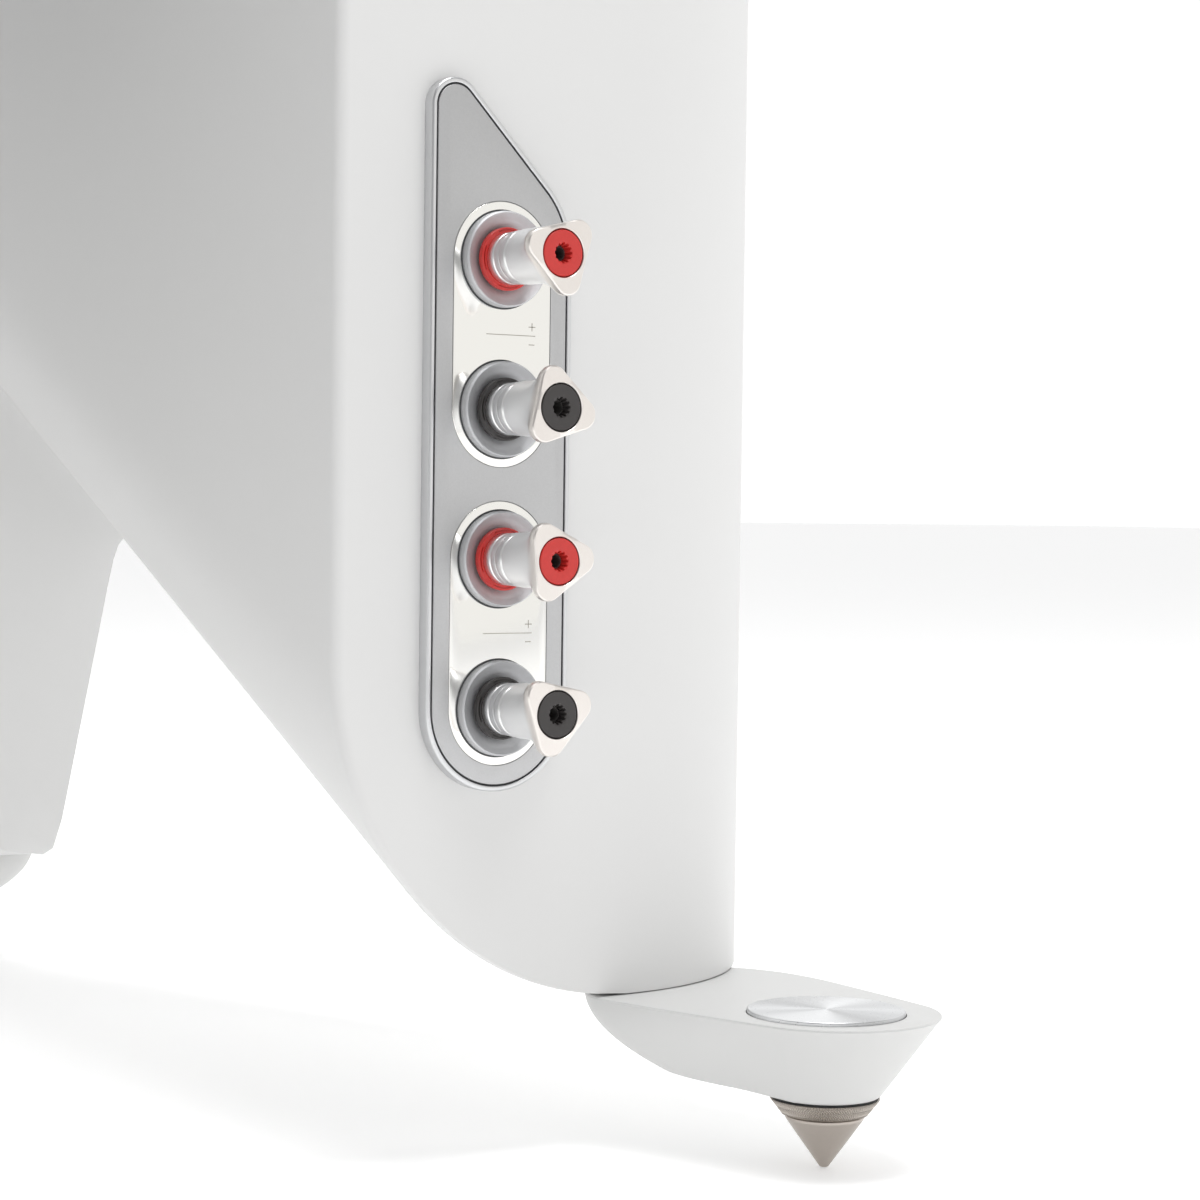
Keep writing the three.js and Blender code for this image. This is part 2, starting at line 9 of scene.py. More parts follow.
import bmesh
import bpy
from mathutils import Matrix, Vector
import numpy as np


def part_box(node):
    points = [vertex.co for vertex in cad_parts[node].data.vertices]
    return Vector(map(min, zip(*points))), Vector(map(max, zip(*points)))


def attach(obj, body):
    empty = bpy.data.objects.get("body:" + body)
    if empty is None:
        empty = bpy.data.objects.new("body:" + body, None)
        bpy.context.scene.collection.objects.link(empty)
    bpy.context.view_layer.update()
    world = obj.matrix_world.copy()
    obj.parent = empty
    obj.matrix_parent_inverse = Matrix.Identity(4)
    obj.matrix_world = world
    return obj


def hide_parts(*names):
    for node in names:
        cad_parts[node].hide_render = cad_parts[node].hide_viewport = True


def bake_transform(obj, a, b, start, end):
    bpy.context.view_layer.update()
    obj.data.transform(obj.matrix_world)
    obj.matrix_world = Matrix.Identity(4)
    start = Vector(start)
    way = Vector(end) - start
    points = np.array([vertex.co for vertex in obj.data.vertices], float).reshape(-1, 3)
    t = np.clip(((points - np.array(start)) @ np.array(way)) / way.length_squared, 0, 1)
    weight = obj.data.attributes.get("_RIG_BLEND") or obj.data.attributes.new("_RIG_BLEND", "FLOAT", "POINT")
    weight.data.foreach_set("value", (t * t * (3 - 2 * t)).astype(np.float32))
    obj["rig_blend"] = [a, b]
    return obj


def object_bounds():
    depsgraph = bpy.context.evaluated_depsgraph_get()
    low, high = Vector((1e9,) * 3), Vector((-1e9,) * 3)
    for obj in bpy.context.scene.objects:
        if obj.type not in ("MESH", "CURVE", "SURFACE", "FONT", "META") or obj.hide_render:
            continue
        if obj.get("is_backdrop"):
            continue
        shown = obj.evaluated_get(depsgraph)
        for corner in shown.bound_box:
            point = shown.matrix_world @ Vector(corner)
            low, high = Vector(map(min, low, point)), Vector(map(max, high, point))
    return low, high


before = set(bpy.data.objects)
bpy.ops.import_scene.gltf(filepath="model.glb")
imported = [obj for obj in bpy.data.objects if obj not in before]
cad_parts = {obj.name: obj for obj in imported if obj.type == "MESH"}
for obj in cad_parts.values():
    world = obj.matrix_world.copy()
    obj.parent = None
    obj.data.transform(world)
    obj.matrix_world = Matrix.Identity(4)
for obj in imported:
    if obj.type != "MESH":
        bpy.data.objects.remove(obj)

CAD_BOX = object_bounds()
MM = 0.001
print("working model box", CAD_BOX)

# %% [markdown]
# ## Writing shader maths as plain Python
# A finish is a small network of nodes. Wiring it by hand hides the idea, so one class wraps a socket
# and answers to + - *, and another holds the material and makes any node by its type.

# %% A socket that does arithmetic
class Wire:
    """One value in a finish. Arithmetic on it adds Math nodes."""

    def __init__(self, finish, socket):
        self.finish = finish
        self.socket = socket

    def maths(self, operation, *values):
        inputs = {i: value for i, value in enumerate((self, *values))}
        return self.finish.node("ShaderNodeMath", {"operation": operation}, inputs)

    def flipped(self, operation, value):
        return self.finish.node("ShaderNodeMath", {"operation": operation}, {0: value, 1: self})

    def __add__(self, value): return self.maths("ADD", value)
    def __radd__(self, value): return self.flipped("ADD", value)
    def __sub__(self, value): return self.maths("SUBTRACT", value)
    def __rsub__(self, value): return self.flipped("SUBTRACT", value)
    def __mul__(self, value): return self.maths("MULTIPLY", value)
    def __rmul__(self, value): return self.flipped("MULTIPLY", value)
    def sine(self): return self.maths("SINE")

    def between(self, low, high):
        """0 below low, 1 above high, smooth between."""
        settings = {"interpolation_type": "SMOOTHSTEP"}
        inputs = {"Value": self, "From Min": low, "From Max": high}
        return self.finish.node("ShaderNodeMapRange", settings, inputs)


# %% A finish that makes its own nodes
class Finish:
    """A material, and the nodes that make it."""

    def __init__(self, name, **uniform):
        self.material = bpy.data.materials.new(name)
        self.material.use_nodes = True
        self.tree = self.material.node_tree
        self.shader = next(n for n in self.tree.nodes if n.type == "BSDF_PRINCIPLED")
        for socket, value in uniform.items():
            self.shader.inputs[socket.replace("_", " ")].default_value = value

    def node(self, kind, settings=None, inputs=None, output=0):
        made = self.tree.nodes.new(kind)
        for key, value in (settings or {}).items():
            setattr(made, key, value)
        for key, value in (inputs or {}).items():
            if isinstance(value, Wire):
                self.tree.links.new(value.socket, made.inputs[key])
            else:
                made.inputs[key].default_value = value
        return Wire(self, made.outputs[output])

    def place(self):
        """The point in the speaker's own frame, in metres."""
        return self.node("ShaderNodeTexCoord", output="Object")

    def noise(self, scale, detail=3):
        inputs = {"Vector": self.place(), "Scale": scale, "Detail": detail}
        return self.node("ShaderNodeTexNoise", None, inputs)

    def blend(self, factor, first, second):
        """One colour where factor is 0, another where it is 1."""
        first, second = (c if isinstance(c, Wire) else (*c, 1) for c in (first, second))
        return self.node("ShaderNodeMix", {"data_type": "RGBA"}, {0: factor, 6: first, 7: second}, 2)

    def bump(self, height, distance):
        inputs = {"Height": height, "Distance": distance, "Strength": 1.0}
        return self.node("ShaderNodeBump", None, inputs)

    def shade(self, **varying):
        for socket, wire in varying.items():
            self.tree.links.new(wire.socket, self.shader.inputs[socket.replace("_", " ")])
        return self.material


# %% [markdown]
# ## Finishes
# The cabinet is sprayed: satin white, faintly uneven like all sprayed lacquer. The terminal plate is
# bead-blasted aluminium with polished inlays, the knobs are pearl nickel and the spikes turned steel.
# Every finish carries its own grain, since a single flat colour never looks like a material.

# %% Sprayed and moulded finishes
def sprayed(name, colour, roughness, peel):
    finish = Finish(name, Specular_IOR_Level=0.45)
    cloud = finish.noise(6)
    base = finish.blend(cloud, [c * 0.985 for c in colour], [min(1, c * 1.01) for c in colour])
    rough = roughness - 0.03 + 0.06 * finish.noise(35)
    fine = finish.noise(1400, 2) * 0.5 + finish.noise(420, 2)
    return finish.shade(Base_Color=base, Roughness=rough, Normal=finish.bump(fine, peel))


def moulded(name, colour, roughness):
    finish = Finish(name, Specular_IOR_Level=0.5)
    base = finish.blend(finish.noise(900), [c * 0.9 for c in colour], [min(1, c * 1.08) for c in colour])
    rough = roughness - 0.04 + 0.08 * finish.noise(2500)
    return finish.shade(Base_Color=base, Roughness=rough, Normal=finish.bump(finish.noise(5000), 2e-6))


WHITE = sprayed("white_lacquer", (0.79, 0.79, 0.785), 0.42, 6e-6)
ARM_WHITE = sprayed("white_powder_coat", (0.67, 0.672, 0.665), 0.46, 9e-6)
RED = moulded("red_plastic", (0.62, 0.035, 0.03), 0.36)
BLACK = moulded("black_plastic", (0.042, 0.038, 0.037), 0.42)
RUBBER = moulded("rubber", (0.018, 0.018, 0.019), 0.62)
SATIN_BLACK = sprayed("satin_black", (0.03, 0.03, 0.032), 0.45, 6e-6)
# Painted shade: near-black stands in for the shadow in the plate's groove and round the foot of each dish.
GROOVE_SHADE = moulded("groove_shadow", (0.06, 0.062, 0.065), 0.6)
print("sprayed and moulded finishes ready")


# %% [markdown]
# Turned metal shows rings round the axis it was turned on. The rings are too fine to see singly, but
# they stretch every highlight across the grain. A spun disc also has its bright and dark fans painted
# into its colour by angle round its axis, as painted reflection.

# %% Metal finishes
def radius_from(finish, centre, axis):
    """Distance from an axis through centre. axis is 'x', 'y' or 'z'."""
    kept = [0.0 if axis == name else 1.0 for name in "xyz"]
    offset = finish.node("ShaderNodeVectorMath", {"operation": "SUBTRACT"}, {0: finish.place(), 1: centre})
    flat = finish.node("ShaderNodeVectorMath", {"operation": "MULTIPLY"}, {0: offset, 1: kept})
    return finish.node("ShaderNodeVectorMath", {"operation": "LENGTH"}, {0: flat}, "Value")


def plain_metal(name, colour, roughness, grain=3000, depth=1.5e-6, mottling=0.05):
    finish = Finish(name, Metallic=1.0)
    base = finish.blend(finish.noise(grain / 3), [c * (1 - mottling) for c in colour], colour)
    rough = roughness - 0.04 + 0.08 * finish.noise(grain / 2)
    return finish.shade(Base_Color=base, Roughness=rough, Normal=finish.bump(finish.noise(grain), depth))


def turned_metal(name, colour, roughness, centre, axis, pitch, depth):
    finish = Finish(name, Metallic=1.0)
    radius = radius_from(finish, centre, axis)
    rings = (radius * (math.tau / pitch)).sine() + (radius * (math.tau / pitch * 2.37)).sine() * 0.6
    base = finish.blend(finish.noise(700), [c * 0.95 for c in colour], colour)
    rough = roughness + 0.05 * finish.noise(1500)
    return finish.shade(Base_Color=base, Roughness=rough, Normal=finish.bump(rings, depth))


def spun_metal_painted_fans(name, colour, centre):
    """Spun face about an upright axis: fine rings, and fans of painted reflection in its colour that narrow
    to the middle.
    """
    finish = Finish(name, Metallic=1.0, Anisotropic=0.85)
    offset = finish.node("ShaderNodeVectorMath", {"operation": "SUBTRACT"}, {0: finish.place(), 1: centre})
    across = finish.node("ShaderNodeSeparateXYZ", None, {0: offset}, "X")
    away = finish.node("ShaderNodeSeparateXYZ", None, {0: offset}, "Y")
    turn = finish.node("ShaderNodeMath", {"operation": "ARCTAN2"}, {0: away, 1: across})
    # Painted reflection: bright and dark fans by angle round the axis, put into the base colour.
    painted_fan_wave = (turn * 2 + 0.9).sine() * 0.5 + (turn * 4 - 0.6).sine() * 0.3 + (turn * 7 + 1.1).sine() * 0.2
    painted_fans = (painted_fan_wave + 1) * 0.5
    radius = radius_from(finish, centre, "z")
    rings = (radius * (math.tau / 0.0003)).sine() + (radius * (math.tau / 0.00071)).sine()
    base = finish.blend(painted_fans, [c * 0.66 for c in colour], [min(1, c * 1.15) for c in colour])
    return finish.shade(Base_Color=base, Roughness=0.26 + 0.04 * finish.noise(900),
                        Normal=finish.bump(rings, 1.2e-6))


BLASTED = plain_metal("blasted_aluminium", (0.58, 0.582, 0.588), 0.47, 7000, 4e-6, 0.12)
BRIGHT = plain_metal("bright_aluminium", (0.70, 0.705, 0.715), 0.3)
MIRROR = plain_metal("mirror_chrome", (0.88, 0.875, 0.85), 0.08, 60, 1e-7, 0.02)
SPIKE_STEEL = plain_metal("turned_steel", (0.56, 0.515, 0.47), 0.3, 4000, 1e-6)
BARREL = plain_metal("satin_barrel", (0.92, 0.92, 0.92), 0.3, 900, 1e-7, 0.02)


def pearl_nickel(face_at):
    """Satin barrel that turns warmer and brighter from a given y onwards, towards the face."""
    finish = Finish("pearl_nickel", Metallic=1.0)
    along = finish.node("ShaderNodeSeparateXYZ", None, {0: finish.place()}, "Y")
    face = along.between(face_at - 0.0035, face_at)
    grain = finish.noise(2400)
    warm = finish.blend(grain, (0.80, 0.755, 0.72), (0.84, 0.80, 0.765))
    cool = finish.blend(grain, (0.93, 0.932, 0.935), (0.95, 0.952, 0.955))
    rough = 0.46 - 0.16 * face + 0.04 * finish.noise(1800)
    return finish.shade(Base_Color=finish.blend(face, cool, warm), Roughness=rough,
                        Normal=finish.bump(finish.noise(5000), 8e-7))


print("metal finishes ready")

# %% [markdown]
# ## Making pieces
# Most of this speaker is turned or lofted, so two makers cover nearly everything: one spins a profile
# round an axis, the other stretches a skin over a row of rings. Profiles are written in millimetres
# and their corners are rounded on the way, because no real edge is perfectly sharp.

# %% Placing and finishing a mesh
SHARP = math.radians(32)


def axes_at(origin, across, along):
    """A local frame: z runs along, x runs across, in the speaker's frame."""
    z = Vector(along).normalized()
    x = Vector(across).normalized()
    return Matrix.LocRotScale(origin, None, None) @ Matrix((x, z.cross(x), z)).transposed().to_4x4()


def piece(name, vertices, faces, where, material, body, slot, stands_for=()):
    mesh = bpy.data.meshes.new(name)
    mesh.from_pydata([where @ (Vector(v) * MM) for v in vertices], [], faces)
    shaped = bmesh.new()
    shaped.from_mesh(mesh)
    bmesh.ops.remove_doubles(shaped, verts=shaped.verts, dist=1e-7)
    bmesh.ops.recalc_face_normals(shaped, faces=shaped.faces)
    shaped.to_mesh(mesh)
    shaped.free()
    mesh.shade_smooth()
    mesh.set_sharp_from_angle(angle=SHARP)
    mesh.materials.append(material)
    made = bpy.data.objects.new(name, mesh)
    bpy.context.scene.collection.objects.link(made)
    if body:
        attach(made, body)
    if stands_for:
        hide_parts(*stands_for)
    return made


# %% Rounding the corners of a profile
def rounded(points, radius, closed=False, steps=4):
    """Replaces each corner by a short curve. A point may carry its own radius as a third number."""
    count = len(points)
    result = []
    for i, point in enumerate(points):
        here = Vector(point[:2])
        if not closed and i in (0, count - 1):
            result.append(tuple(here))
            continue
        before = Vector(points[i - 1][:2])
        after = Vector(points[(i + 1) % count][:2])
        reach = point[2] if len(point) > 2 else radius
        reach = min(reach, (before - here).length * 0.48, (after - here).length * 0.48)
        if reach < 1e-4:
            result.append(tuple(here))
            continue
        start = here + (before - here).normalized() * reach
        end = here + (after - here).normalized() * reach
        for k in range(steps + 1):
            t = k / steps
            bent = start * (1 - t) ** 2 + here * 2 * t * (1 - t) + end * t ** 2
            result.append(tuple(bent))
    return result


# %% Turning and lofting
def turned(profile, steps=96, closed=False):
    """Spins [radius, height] points round z. Returns vertices and faces."""
    vertices, faces, rings = [], [], []
    for radius, height in profile:
        if radius < 1e-6:
            rings.append([len(vertices)] * steps)
            vertices.append((0, 0, height))
            continue
        rings.append(list(range(len(vertices), len(vertices) + steps)))
        for i in range(steps):
            angle = math.tau * i / steps
            vertices.append((radius * math.cos(angle), radius * math.sin(angle), height))
    pairs = list(zip(rings, rings[1:]))
    if closed:
        pairs.append((rings[-1], rings[0]))
    for low, high in pairs:
        for i in range(steps):
            j = (i + 1) % steps
            corners = dict.fromkeys((low[i], low[j], high[j], high[i]))
            if len(corners) > 2:
                faces.append(tuple(corners))
    return vertices, faces


def lofted(rings, capped=True):
    """A skin over rings of equal length, closed by a face at each end."""
    count = len(rings[0])
    vertices = [point for ring in rings for point in ring]
    faces = []
    for k in range(len(rings) - 1):
        for i in range(count):
            j = (i + 1) % count
            faces.append((k * count + i, k * count + j, (k + 1) * count + j, (k + 1) * count + i))
    if capped:
        faces.append(tuple(reversed(range(count))))
        faces.append(tuple(range(len(vertices) - count, len(vertices))))
    return vertices, faces


def carve(target, vertices, faces, where):
    """Cuts a closed shape out of a piece and keeps the result as its mesh."""
    tool_mesh = bpy.data.meshes.new("tool")
    tool_mesh.from_pydata([where @ (Vector(v) * MM) for v in vertices], [], faces)
    tool = bpy.data.objects.new("tool", tool_mesh)
    bpy.context.scene.collection.objects.link(tool)
    work = bmesh.new()
    work.from_mesh(tool_mesh)
    bmesh.ops.recalc_face_normals(work, faces=work.faces)
    work.to_mesh(tool_mesh)
    work.free()
    cutter = target.modifiers.new("carve", "BOOLEAN")
    cutter.operation = "DIFFERENCE"
    cutter.solver = "EXACT"
    cutter.object = tool
    bpy.context.view_layer.update()
    graph = bpy.context.evaluated_depsgraph_get()
    carved = bpy.data.meshes.new_from_object(target.evaluated_get(graph))
    target.modifiers.clear()
    target.data = carved
    bpy.data.objects.remove(tool)
    carved.set_sharp_from_angle(angle=SHARP)
    return target


# %% [markdown]
# ## Where things are
# Every place is read from the working model, never typed in: the middle of a post from its stem, the
# middle of a foot from its cap, the cabinet's faces from the cabinet.

# %% Reading places from the working model
def middle(node):
    low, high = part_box(node)
    return (low + high) / 2


CABINET_LOW, CABINET_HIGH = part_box("left_cabinet")
INNER = -CABINET_HIGH.x / MM
REAR = CABINET_HIGH.y / MM
BOTTOM = CABINET_LOW.z / MM
TOP = CABINET_HIGH.z / MM
DEPTH = 2 * REAR
POSTS = [f"post_{i}" for i in (1, 2, 3, 4)]
LOW_POST = middle("post_1_stem")
PITCH = (middle("post_2_stem").z - LOW_POST.z) / MM
SIDES = {"left": -1, "right": 1}
print("inner side", INNER, "rear", REAR, "bottom", BOTTOM, "top", TOP, "post pitch", PITCH)

# %% [markdown]
# ## Camera
# The camera stands behind the speaker, a little to the right of its middle as the listener sees it,
# low down and almost level. A long lens keeps uprights nearly parallel.

# %% Setting the camera
def set_camera(lens, spot, turn, tilt, lean):
    heading = Vector((-math.sin(turn) * math.cos(tilt), -math.cos(turn) * math.cos(tilt), -math.sin(tilt)))
    right = Vector((-math.cos(turn), math.sin(turn), 0))
    upward = right.cross(heading)
    leaning_right = right * math.cos(lean) + upward * math.sin(lean)
    leaning_up = upward * math.cos(lean) - right * math.sin(lean)
    camera = bpy.data.objects.new("camera", bpy.data.cameras.new("camera"))
    camera.data.lens = lens
    camera.data.sensor_width = 36
    camera.data.clip_start = 0.05
    turned_to = Matrix((leaning_right, leaning_up, -heading)).transposed().to_4x4()
    camera.matrix_world = Matrix.Translation(spot) @ turned_to
    bpy.context.scene.collection.objects.link(camera)
    bpy.context.scene.camera = camera
    return heading


CAMERA_SPOT = LOW_POST + Vector((0.456, 0, 0.057))
CAMERA_SPOT.y = (REAR + 697.3) * MM
HEADING = set_camera(88.39, CAMERA_SPOT, math.radians(35.3), math.radians(1.81), math.radians(0.75))
print("camera at", CAMERA_SPOT, "looking along", HEADING)


# %% [markdown]
# ## The cabinets
# Seen from above, a cabinet is flat behind and on its inner side, swells at its rear outer corner and
# tapers to a narrow nose. Seen from behind, its lower inner corner is a large round that rises into a
# slope towards the front, so only the outer part of it comes down to a leg. One height rule for the
# underside and one width rule for the plan are enough to describe it.

# %% The plan and the underside as rules
SWELL_R, SWELL_OUT, SWELL_END = 80, 101, math.radians(105.5)
NOSE_R = 60
CUT_R, CUT_RISE, CUT_TURN = 100, 0.534, math.radians(42.3)
LEG_R, LEG_DEPTH, LEG_RISE, ARCH_BLEND = 41, 30, 4, 24
TOP_RISE = 0.12
SWELL_EXIT = SWELL_R * (1 - math.cos(SWELL_END))
TAPER = math.tan(SWELL_END - math.pi / 2)
NOSE_DEEP = DEPTH - NOSE_R
NOSE_ENTRY = NOSE_DEEP + NOSE_R * math.sin(SWELL_END - math.pi / 2)


def taper_line(deep):
    return SWELL_OUT + SWELL_R * math.sin(SWELL_END) - TAPER * (deep - SWELL_EXIT)


NOSE_OUT = taper_line(NOSE_DEEP) - NOSE_R / math.cos(SWELL_END - math.pi / 2)


def outer_side(deep):
    if deep < SWELL_EXIT:
        return SWELL_OUT + math.sqrt(SWELL_R ** 2 - (SWELL_R - deep) ** 2)
    if deep < NOSE_ENTRY:
        return taper_line(deep)
    return NOSE_OUT + math.sqrt(max(0, NOSE_R ** 2 - (deep - NOSE_DEEP) ** 2))


def corner_rise(out, radius, rise, deep):
    """Height of a section's edge: a round corner, a slope, a round, then flat."""
    slope = 1 / math.tan(CUT_TURN)
    lift = rise * deep
    shift = lift / slope
    round_end = radius * (1 - math.cos(CUT_TURN))
    if out < round_end:
        return lift + radius - math.sqrt(radius ** 2 - (radius - out) ** 2)
    if out < round_end + shift:
        return lift + radius * (1 - math.sin(CUT_TURN)) - slope * (out - round_end)
    if out < radius + shift:
        return radius - math.sqrt(radius ** 2 - (radius + shift - out) ** 2)
    return 0


def underside(out, deep):
    rear = corner_rise(out, CUT_R, CUT_RISE, deep)
    front = corner_rise(out, LEG_R, LEG_RISE, max(0, DEPTH - deep - LEG_DEPTH))
    overlap = max(ARCH_BLEND - abs(rear - front), 0)
    return BOTTOM + max(0, min(rear, front) - overlap ** 2 / (4 * ARCH_BLEND))


def topside(out, deep):
    return TOP - corner_rise(out, CUT_R, TOP_RISE, deep)


# %% [markdown]
# The skin is lofted from upright sections, rear to front. Near each face the sections shrink a little,
# which rounds that face's edge. Rounding by construction keeps the highlight on the edge even, where a
# bevel on such a long curved edge would pinch.

# %% Sections of a cabinet
EDGE = 3.5
FOOT_EDGE = 0.8
ACROSS = 60


def section(deep, inset):
    """Ring of [out, up] points round one upright section, pulled in by inset."""
    outer = outer_side(deep)
    shares = [1 - math.cos(math.pi / 2 * k / ACROSS) for k in range(ACROSS + 1)]
    low = [(outer * s, underside(outer * s, deep)) for s in shares]
    high = [(outer * s, topside(outer * s, deep)) for s in reversed(shares)]
    ring = low[:-6] + rounded([low[-6], (*low[-1], FOOT_EDGE), (outer, low[-1][1] + 40)], 0)[1:]
    ring += [(outer, low[-1][1] + 40 + k * (high[0][1] - low[-1][1] - 80) / 10) for k in range(1, 10)]
    ring += rounded([(outer, high[0][1] - 40), (*high[0], FOOT_EDGE), high[5]], 0)
    ring += high[6:]
    bottom_up, top_up = low[0][1], high[-1][1]
    ring += [(0, top_up + (bottom_up - top_up) * k / 24) for k in range(1, 24)]
    return pulled_in(ring, inset) if inset else ring


def pulled_in(ring, inset):
    """Moves a ring inwards by inset, less towards its round outer side and its crisp foot."""
    moved = []
    count = len(ring)
    outer = max(x for x, _ in ring)
    for i, (x, y) in enumerate(ring):
        share = min(1, (outer - x) / 12) * (0.12 + 0.88 * min(1, max(0, (y - BOTTOM) / 60)))
        ax, ay = ring[i - 1]
        bx, by = ring[(i + 1) % count]
        dx, dy = bx - ax, by - ay
        length = math.hypot(dx, dy) or 1
        moved.append((x - dy / length * inset * share, y + dx / length * inset * share))
    return moved


def section_rows():
    """Depth and inset of each section."""
    rows = []
    for k in range(7):
        turn = math.pi / 2 * k / 6
        rows.append((EDGE * (1 - math.cos(turn)), EDGE * (1 - math.sin(turn))))
    swell = [SWELL_R * (1 - math.cos(math.radians(a))) for a in range(19, 106, 4)]
    rows += [(d, 0) for d in swell if d > EDGE + 0.5]
    rows += [(SWELL_EXIT + 12 + k * 12, 0) for k in range(15)]
    arch = SWELL_EXIT + 12 * 16
    steps = 30
    rows += [(arch + (NOSE_DEEP - arch) * k / steps, 0) for k in range(steps)]
    rows += [(NOSE_DEEP + NOSE_R * math.sin(math.radians(a)), 0) for a in range(0, 70, 5)]
    for k in range(7):
        turn = math.pi / 2 * k / 6
        rows.append((DEPTH - EDGE * (1 - math.sin(turn)), EDGE * (1 - math.cos(turn))))
    return rows


# %% Building both cabinets
BOARD_LOW, BOARD_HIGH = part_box("left_baffle_board")


def box_shape(low, high):
    corners = [(x, y, z) for z in (low[2], high[2]) for y in (low[1], high[1]) for x in (low[0], high[0])]
    faces = [(0, 2, 3, 1), (4, 5, 7, 6), (0, 1, 5, 4), (2, 6, 7, 3), (0, 4, 6, 2), (1, 3, 7, 5)]
    return corners, faces


def build_cabinet(side):
    sign = SIDES[side]
    rings = []
    for deep, inset in section_rows():
        rings.append([(sign * (INNER + out), REAR - deep, up) for out, up in section(deep, inset)])
    skin = piece(f"{side}_cabinet_skin", *lofted(rings), Matrix(), WHITE, "speaker", "white_lacquer",
                 [f"{side}_cabinet"])
    reach = sorted((sign * (INNER - 5), sign * (INNER + 97)))
    seam = 0.3
    low = (reach[0], BOARD_LOW.y / MM - seam, BOARD_LOW.z / MM - seam)
    high = (reach[1], BOARD_HIGH.y / MM + seam, BOARD_HIGH.z / MM + seam)
    carve(skin, *box_shape(low, high), Matrix())
    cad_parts[f"{side}_baffle_board"].data.materials.clear()
    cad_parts[f"{side}_baffle_board"].data.materials.append(WHITE)
    print(skin.name, len(skin.data.vertices), "points")


for side in SIDES:
    build_cabinet(side)
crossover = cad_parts["crossover_board"].data.materials
crossover.clear()
crossover.append(moulded("circuit_board", (0.05, 0.16, 0.07), 0.5))


# %% [markdown]
# ## The terminal plate
# The plate is one outline used many times: full size for the bright rim, pulled in for a near-black slab of
# painted shade that fills the groove, and for the inner panel. Each pair of posts has a polished inlay, and
# each post sits in a shallow dish ringed by painted shade.

# %% The plate's outline
PLATE_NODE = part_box("terminal_bezel")
PLATE_HALF = (PLATE_NODE[1].x - PLATE_NODE[0].x) / 2 / MM
PLATE_APEX = (PLATE_NODE[1].z - LOW_POST.z) / MM
PLATE_FACE = PLATE_NODE[1].y / MM - REAR
NICKEL = pearl_nickel((REAR + 32.6) * MM)
APEX_R, KNEE_R, SHOULDER = 8, 26, math.radians(45)
RIM, GROOVE = 1.5, 0.5
POST_FRAME = [axes_at(Vector((LOW_POST.x, REAR * MM, LOW_POST.z + i * PITCH * MM)), (-1, 0, 0), (0, 1, 0))
              for i in range(4)]


def arc(x, y, radius, start, end, steps):
    return [(x + radius * math.cos(start + (end - start) * k / steps),
             y + radius * math.sin(start + (end - start) * k / steps)) for k in range(steps + 1)]


def plate_outline(inset):
    half, apex_r, knee_r = PLATE_HALF - inset, APEX_R - inset, KNEE_R - inset
    apex = (-half + apex_r, PLATE_APEX - APEX_R)
    knee_x = half - knee_r
    run = knee_x - apex[0] + (knee_r - apex_r) * math.cos(SHOULDER)
    knee_y = apex[1] + (apex_r - knee_r) * math.sin(SHOULDER) - run / math.tan(SHOULDER)
    foot = arc(0, 0, half, math.pi, math.tau, 48)
    return foot + arc(knee_x, knee_y, knee_r, 0, SHOULDER, 16) + arc(*apex, apex_r, SHOULDER, math.pi, 24)


def slab(outline, low, high, bevel, steps=3):
    """Rings of a flat piece whose front edge is softened. outline(inset) gives its points."""
    levels = [(low, 0), (high - bevel, 0)]
    for k in range(1, steps + 1):
        turn = math.pi / 2 * k / steps
        levels.append((high - bevel + bevel * math.sin(turn), bevel * (1 - math.cos(turn))))
    return [[(x, y, height) for x, y in outline(inset)] for height, inset in levels]


def frame_slab(outline, width, low, high, bevel):
    """A flat frame: out along one outline and back along a smaller one."""
    rings = slab(outline, low, high, bevel)
    inner = slab(lambda inset: outline(width - inset), low, high, bevel * 0.5)
    return lofted(rings + list(reversed(inner)), capped=False)


# %% Rim, groove shade and panel
piece("terminal_rim", *frame_slab(plate_outline, RIM, 0.05, PLATE_FACE, 0.6), POST_FRAME[0], BRIGHT,
      "speaker", "bright_aluminium", ["terminal_bezel"])
# Painted shade: a near-black slab under the gap between rim and panel, where there is only shadow.
piece("terminal_groove_shade", *lofted(slab(lambda i: plate_outline(RIM - 0.3 + i), 0.1, 2.9, 0.1)),
      POST_FRAME[0], GROOVE_SHADE, "speaker", "satin_aluminium")


def stadium(radius, low, high, steps=40):
    return arc(0, low, radius, math.pi, math.tau, steps) + arc(0, high, radius, 0, math.pi, steps)


INLAY_R = (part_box("low_inlay")[1].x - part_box("low_inlay")[0].x) / 2 / MM
PANEL = piece("terminal_panel_face",
              *lofted(slab(lambda i: plate_outline(RIM + GROOVE + i), 0.2, PLATE_FACE - 0.05, 0.25)),
              POST_FRAME[0], BLASTED, "speaker", "satin_aluminium", ["terminal_panel"])
for first in (0, 2):
    recess = [[(x, y, h) for x, y in stadium(INLAY_R + 0.12, first * PITCH, (first + 1) * PITCH)]
              for h in (PLATE_FACE - 0.6, PLATE_FACE + 2)]
    carve(PANEL, *lofted(recess), POST_FRAME[0])
print("plate", PLATE_HALF * 2, "wide, face", PLATE_FACE, "off the cabinet")

# %% Inlays and dishes
DISH_R = 13.5
DISH_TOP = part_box("low_inlay")[1].y / MM - REAR


def inlay_piece(name, first):
    def outline(inset):
        return stadium(INLAY_R - inset, first * PITCH, (first + 1) * PITCH)
    return piece(f"{name}_plate", *lofted(slab(outline, PLATE_FACE - 0.9, PLATE_FACE, 0.25)), POST_FRAME[0],
                 MIRROR, "speaker", "mirror_chrome", [name])


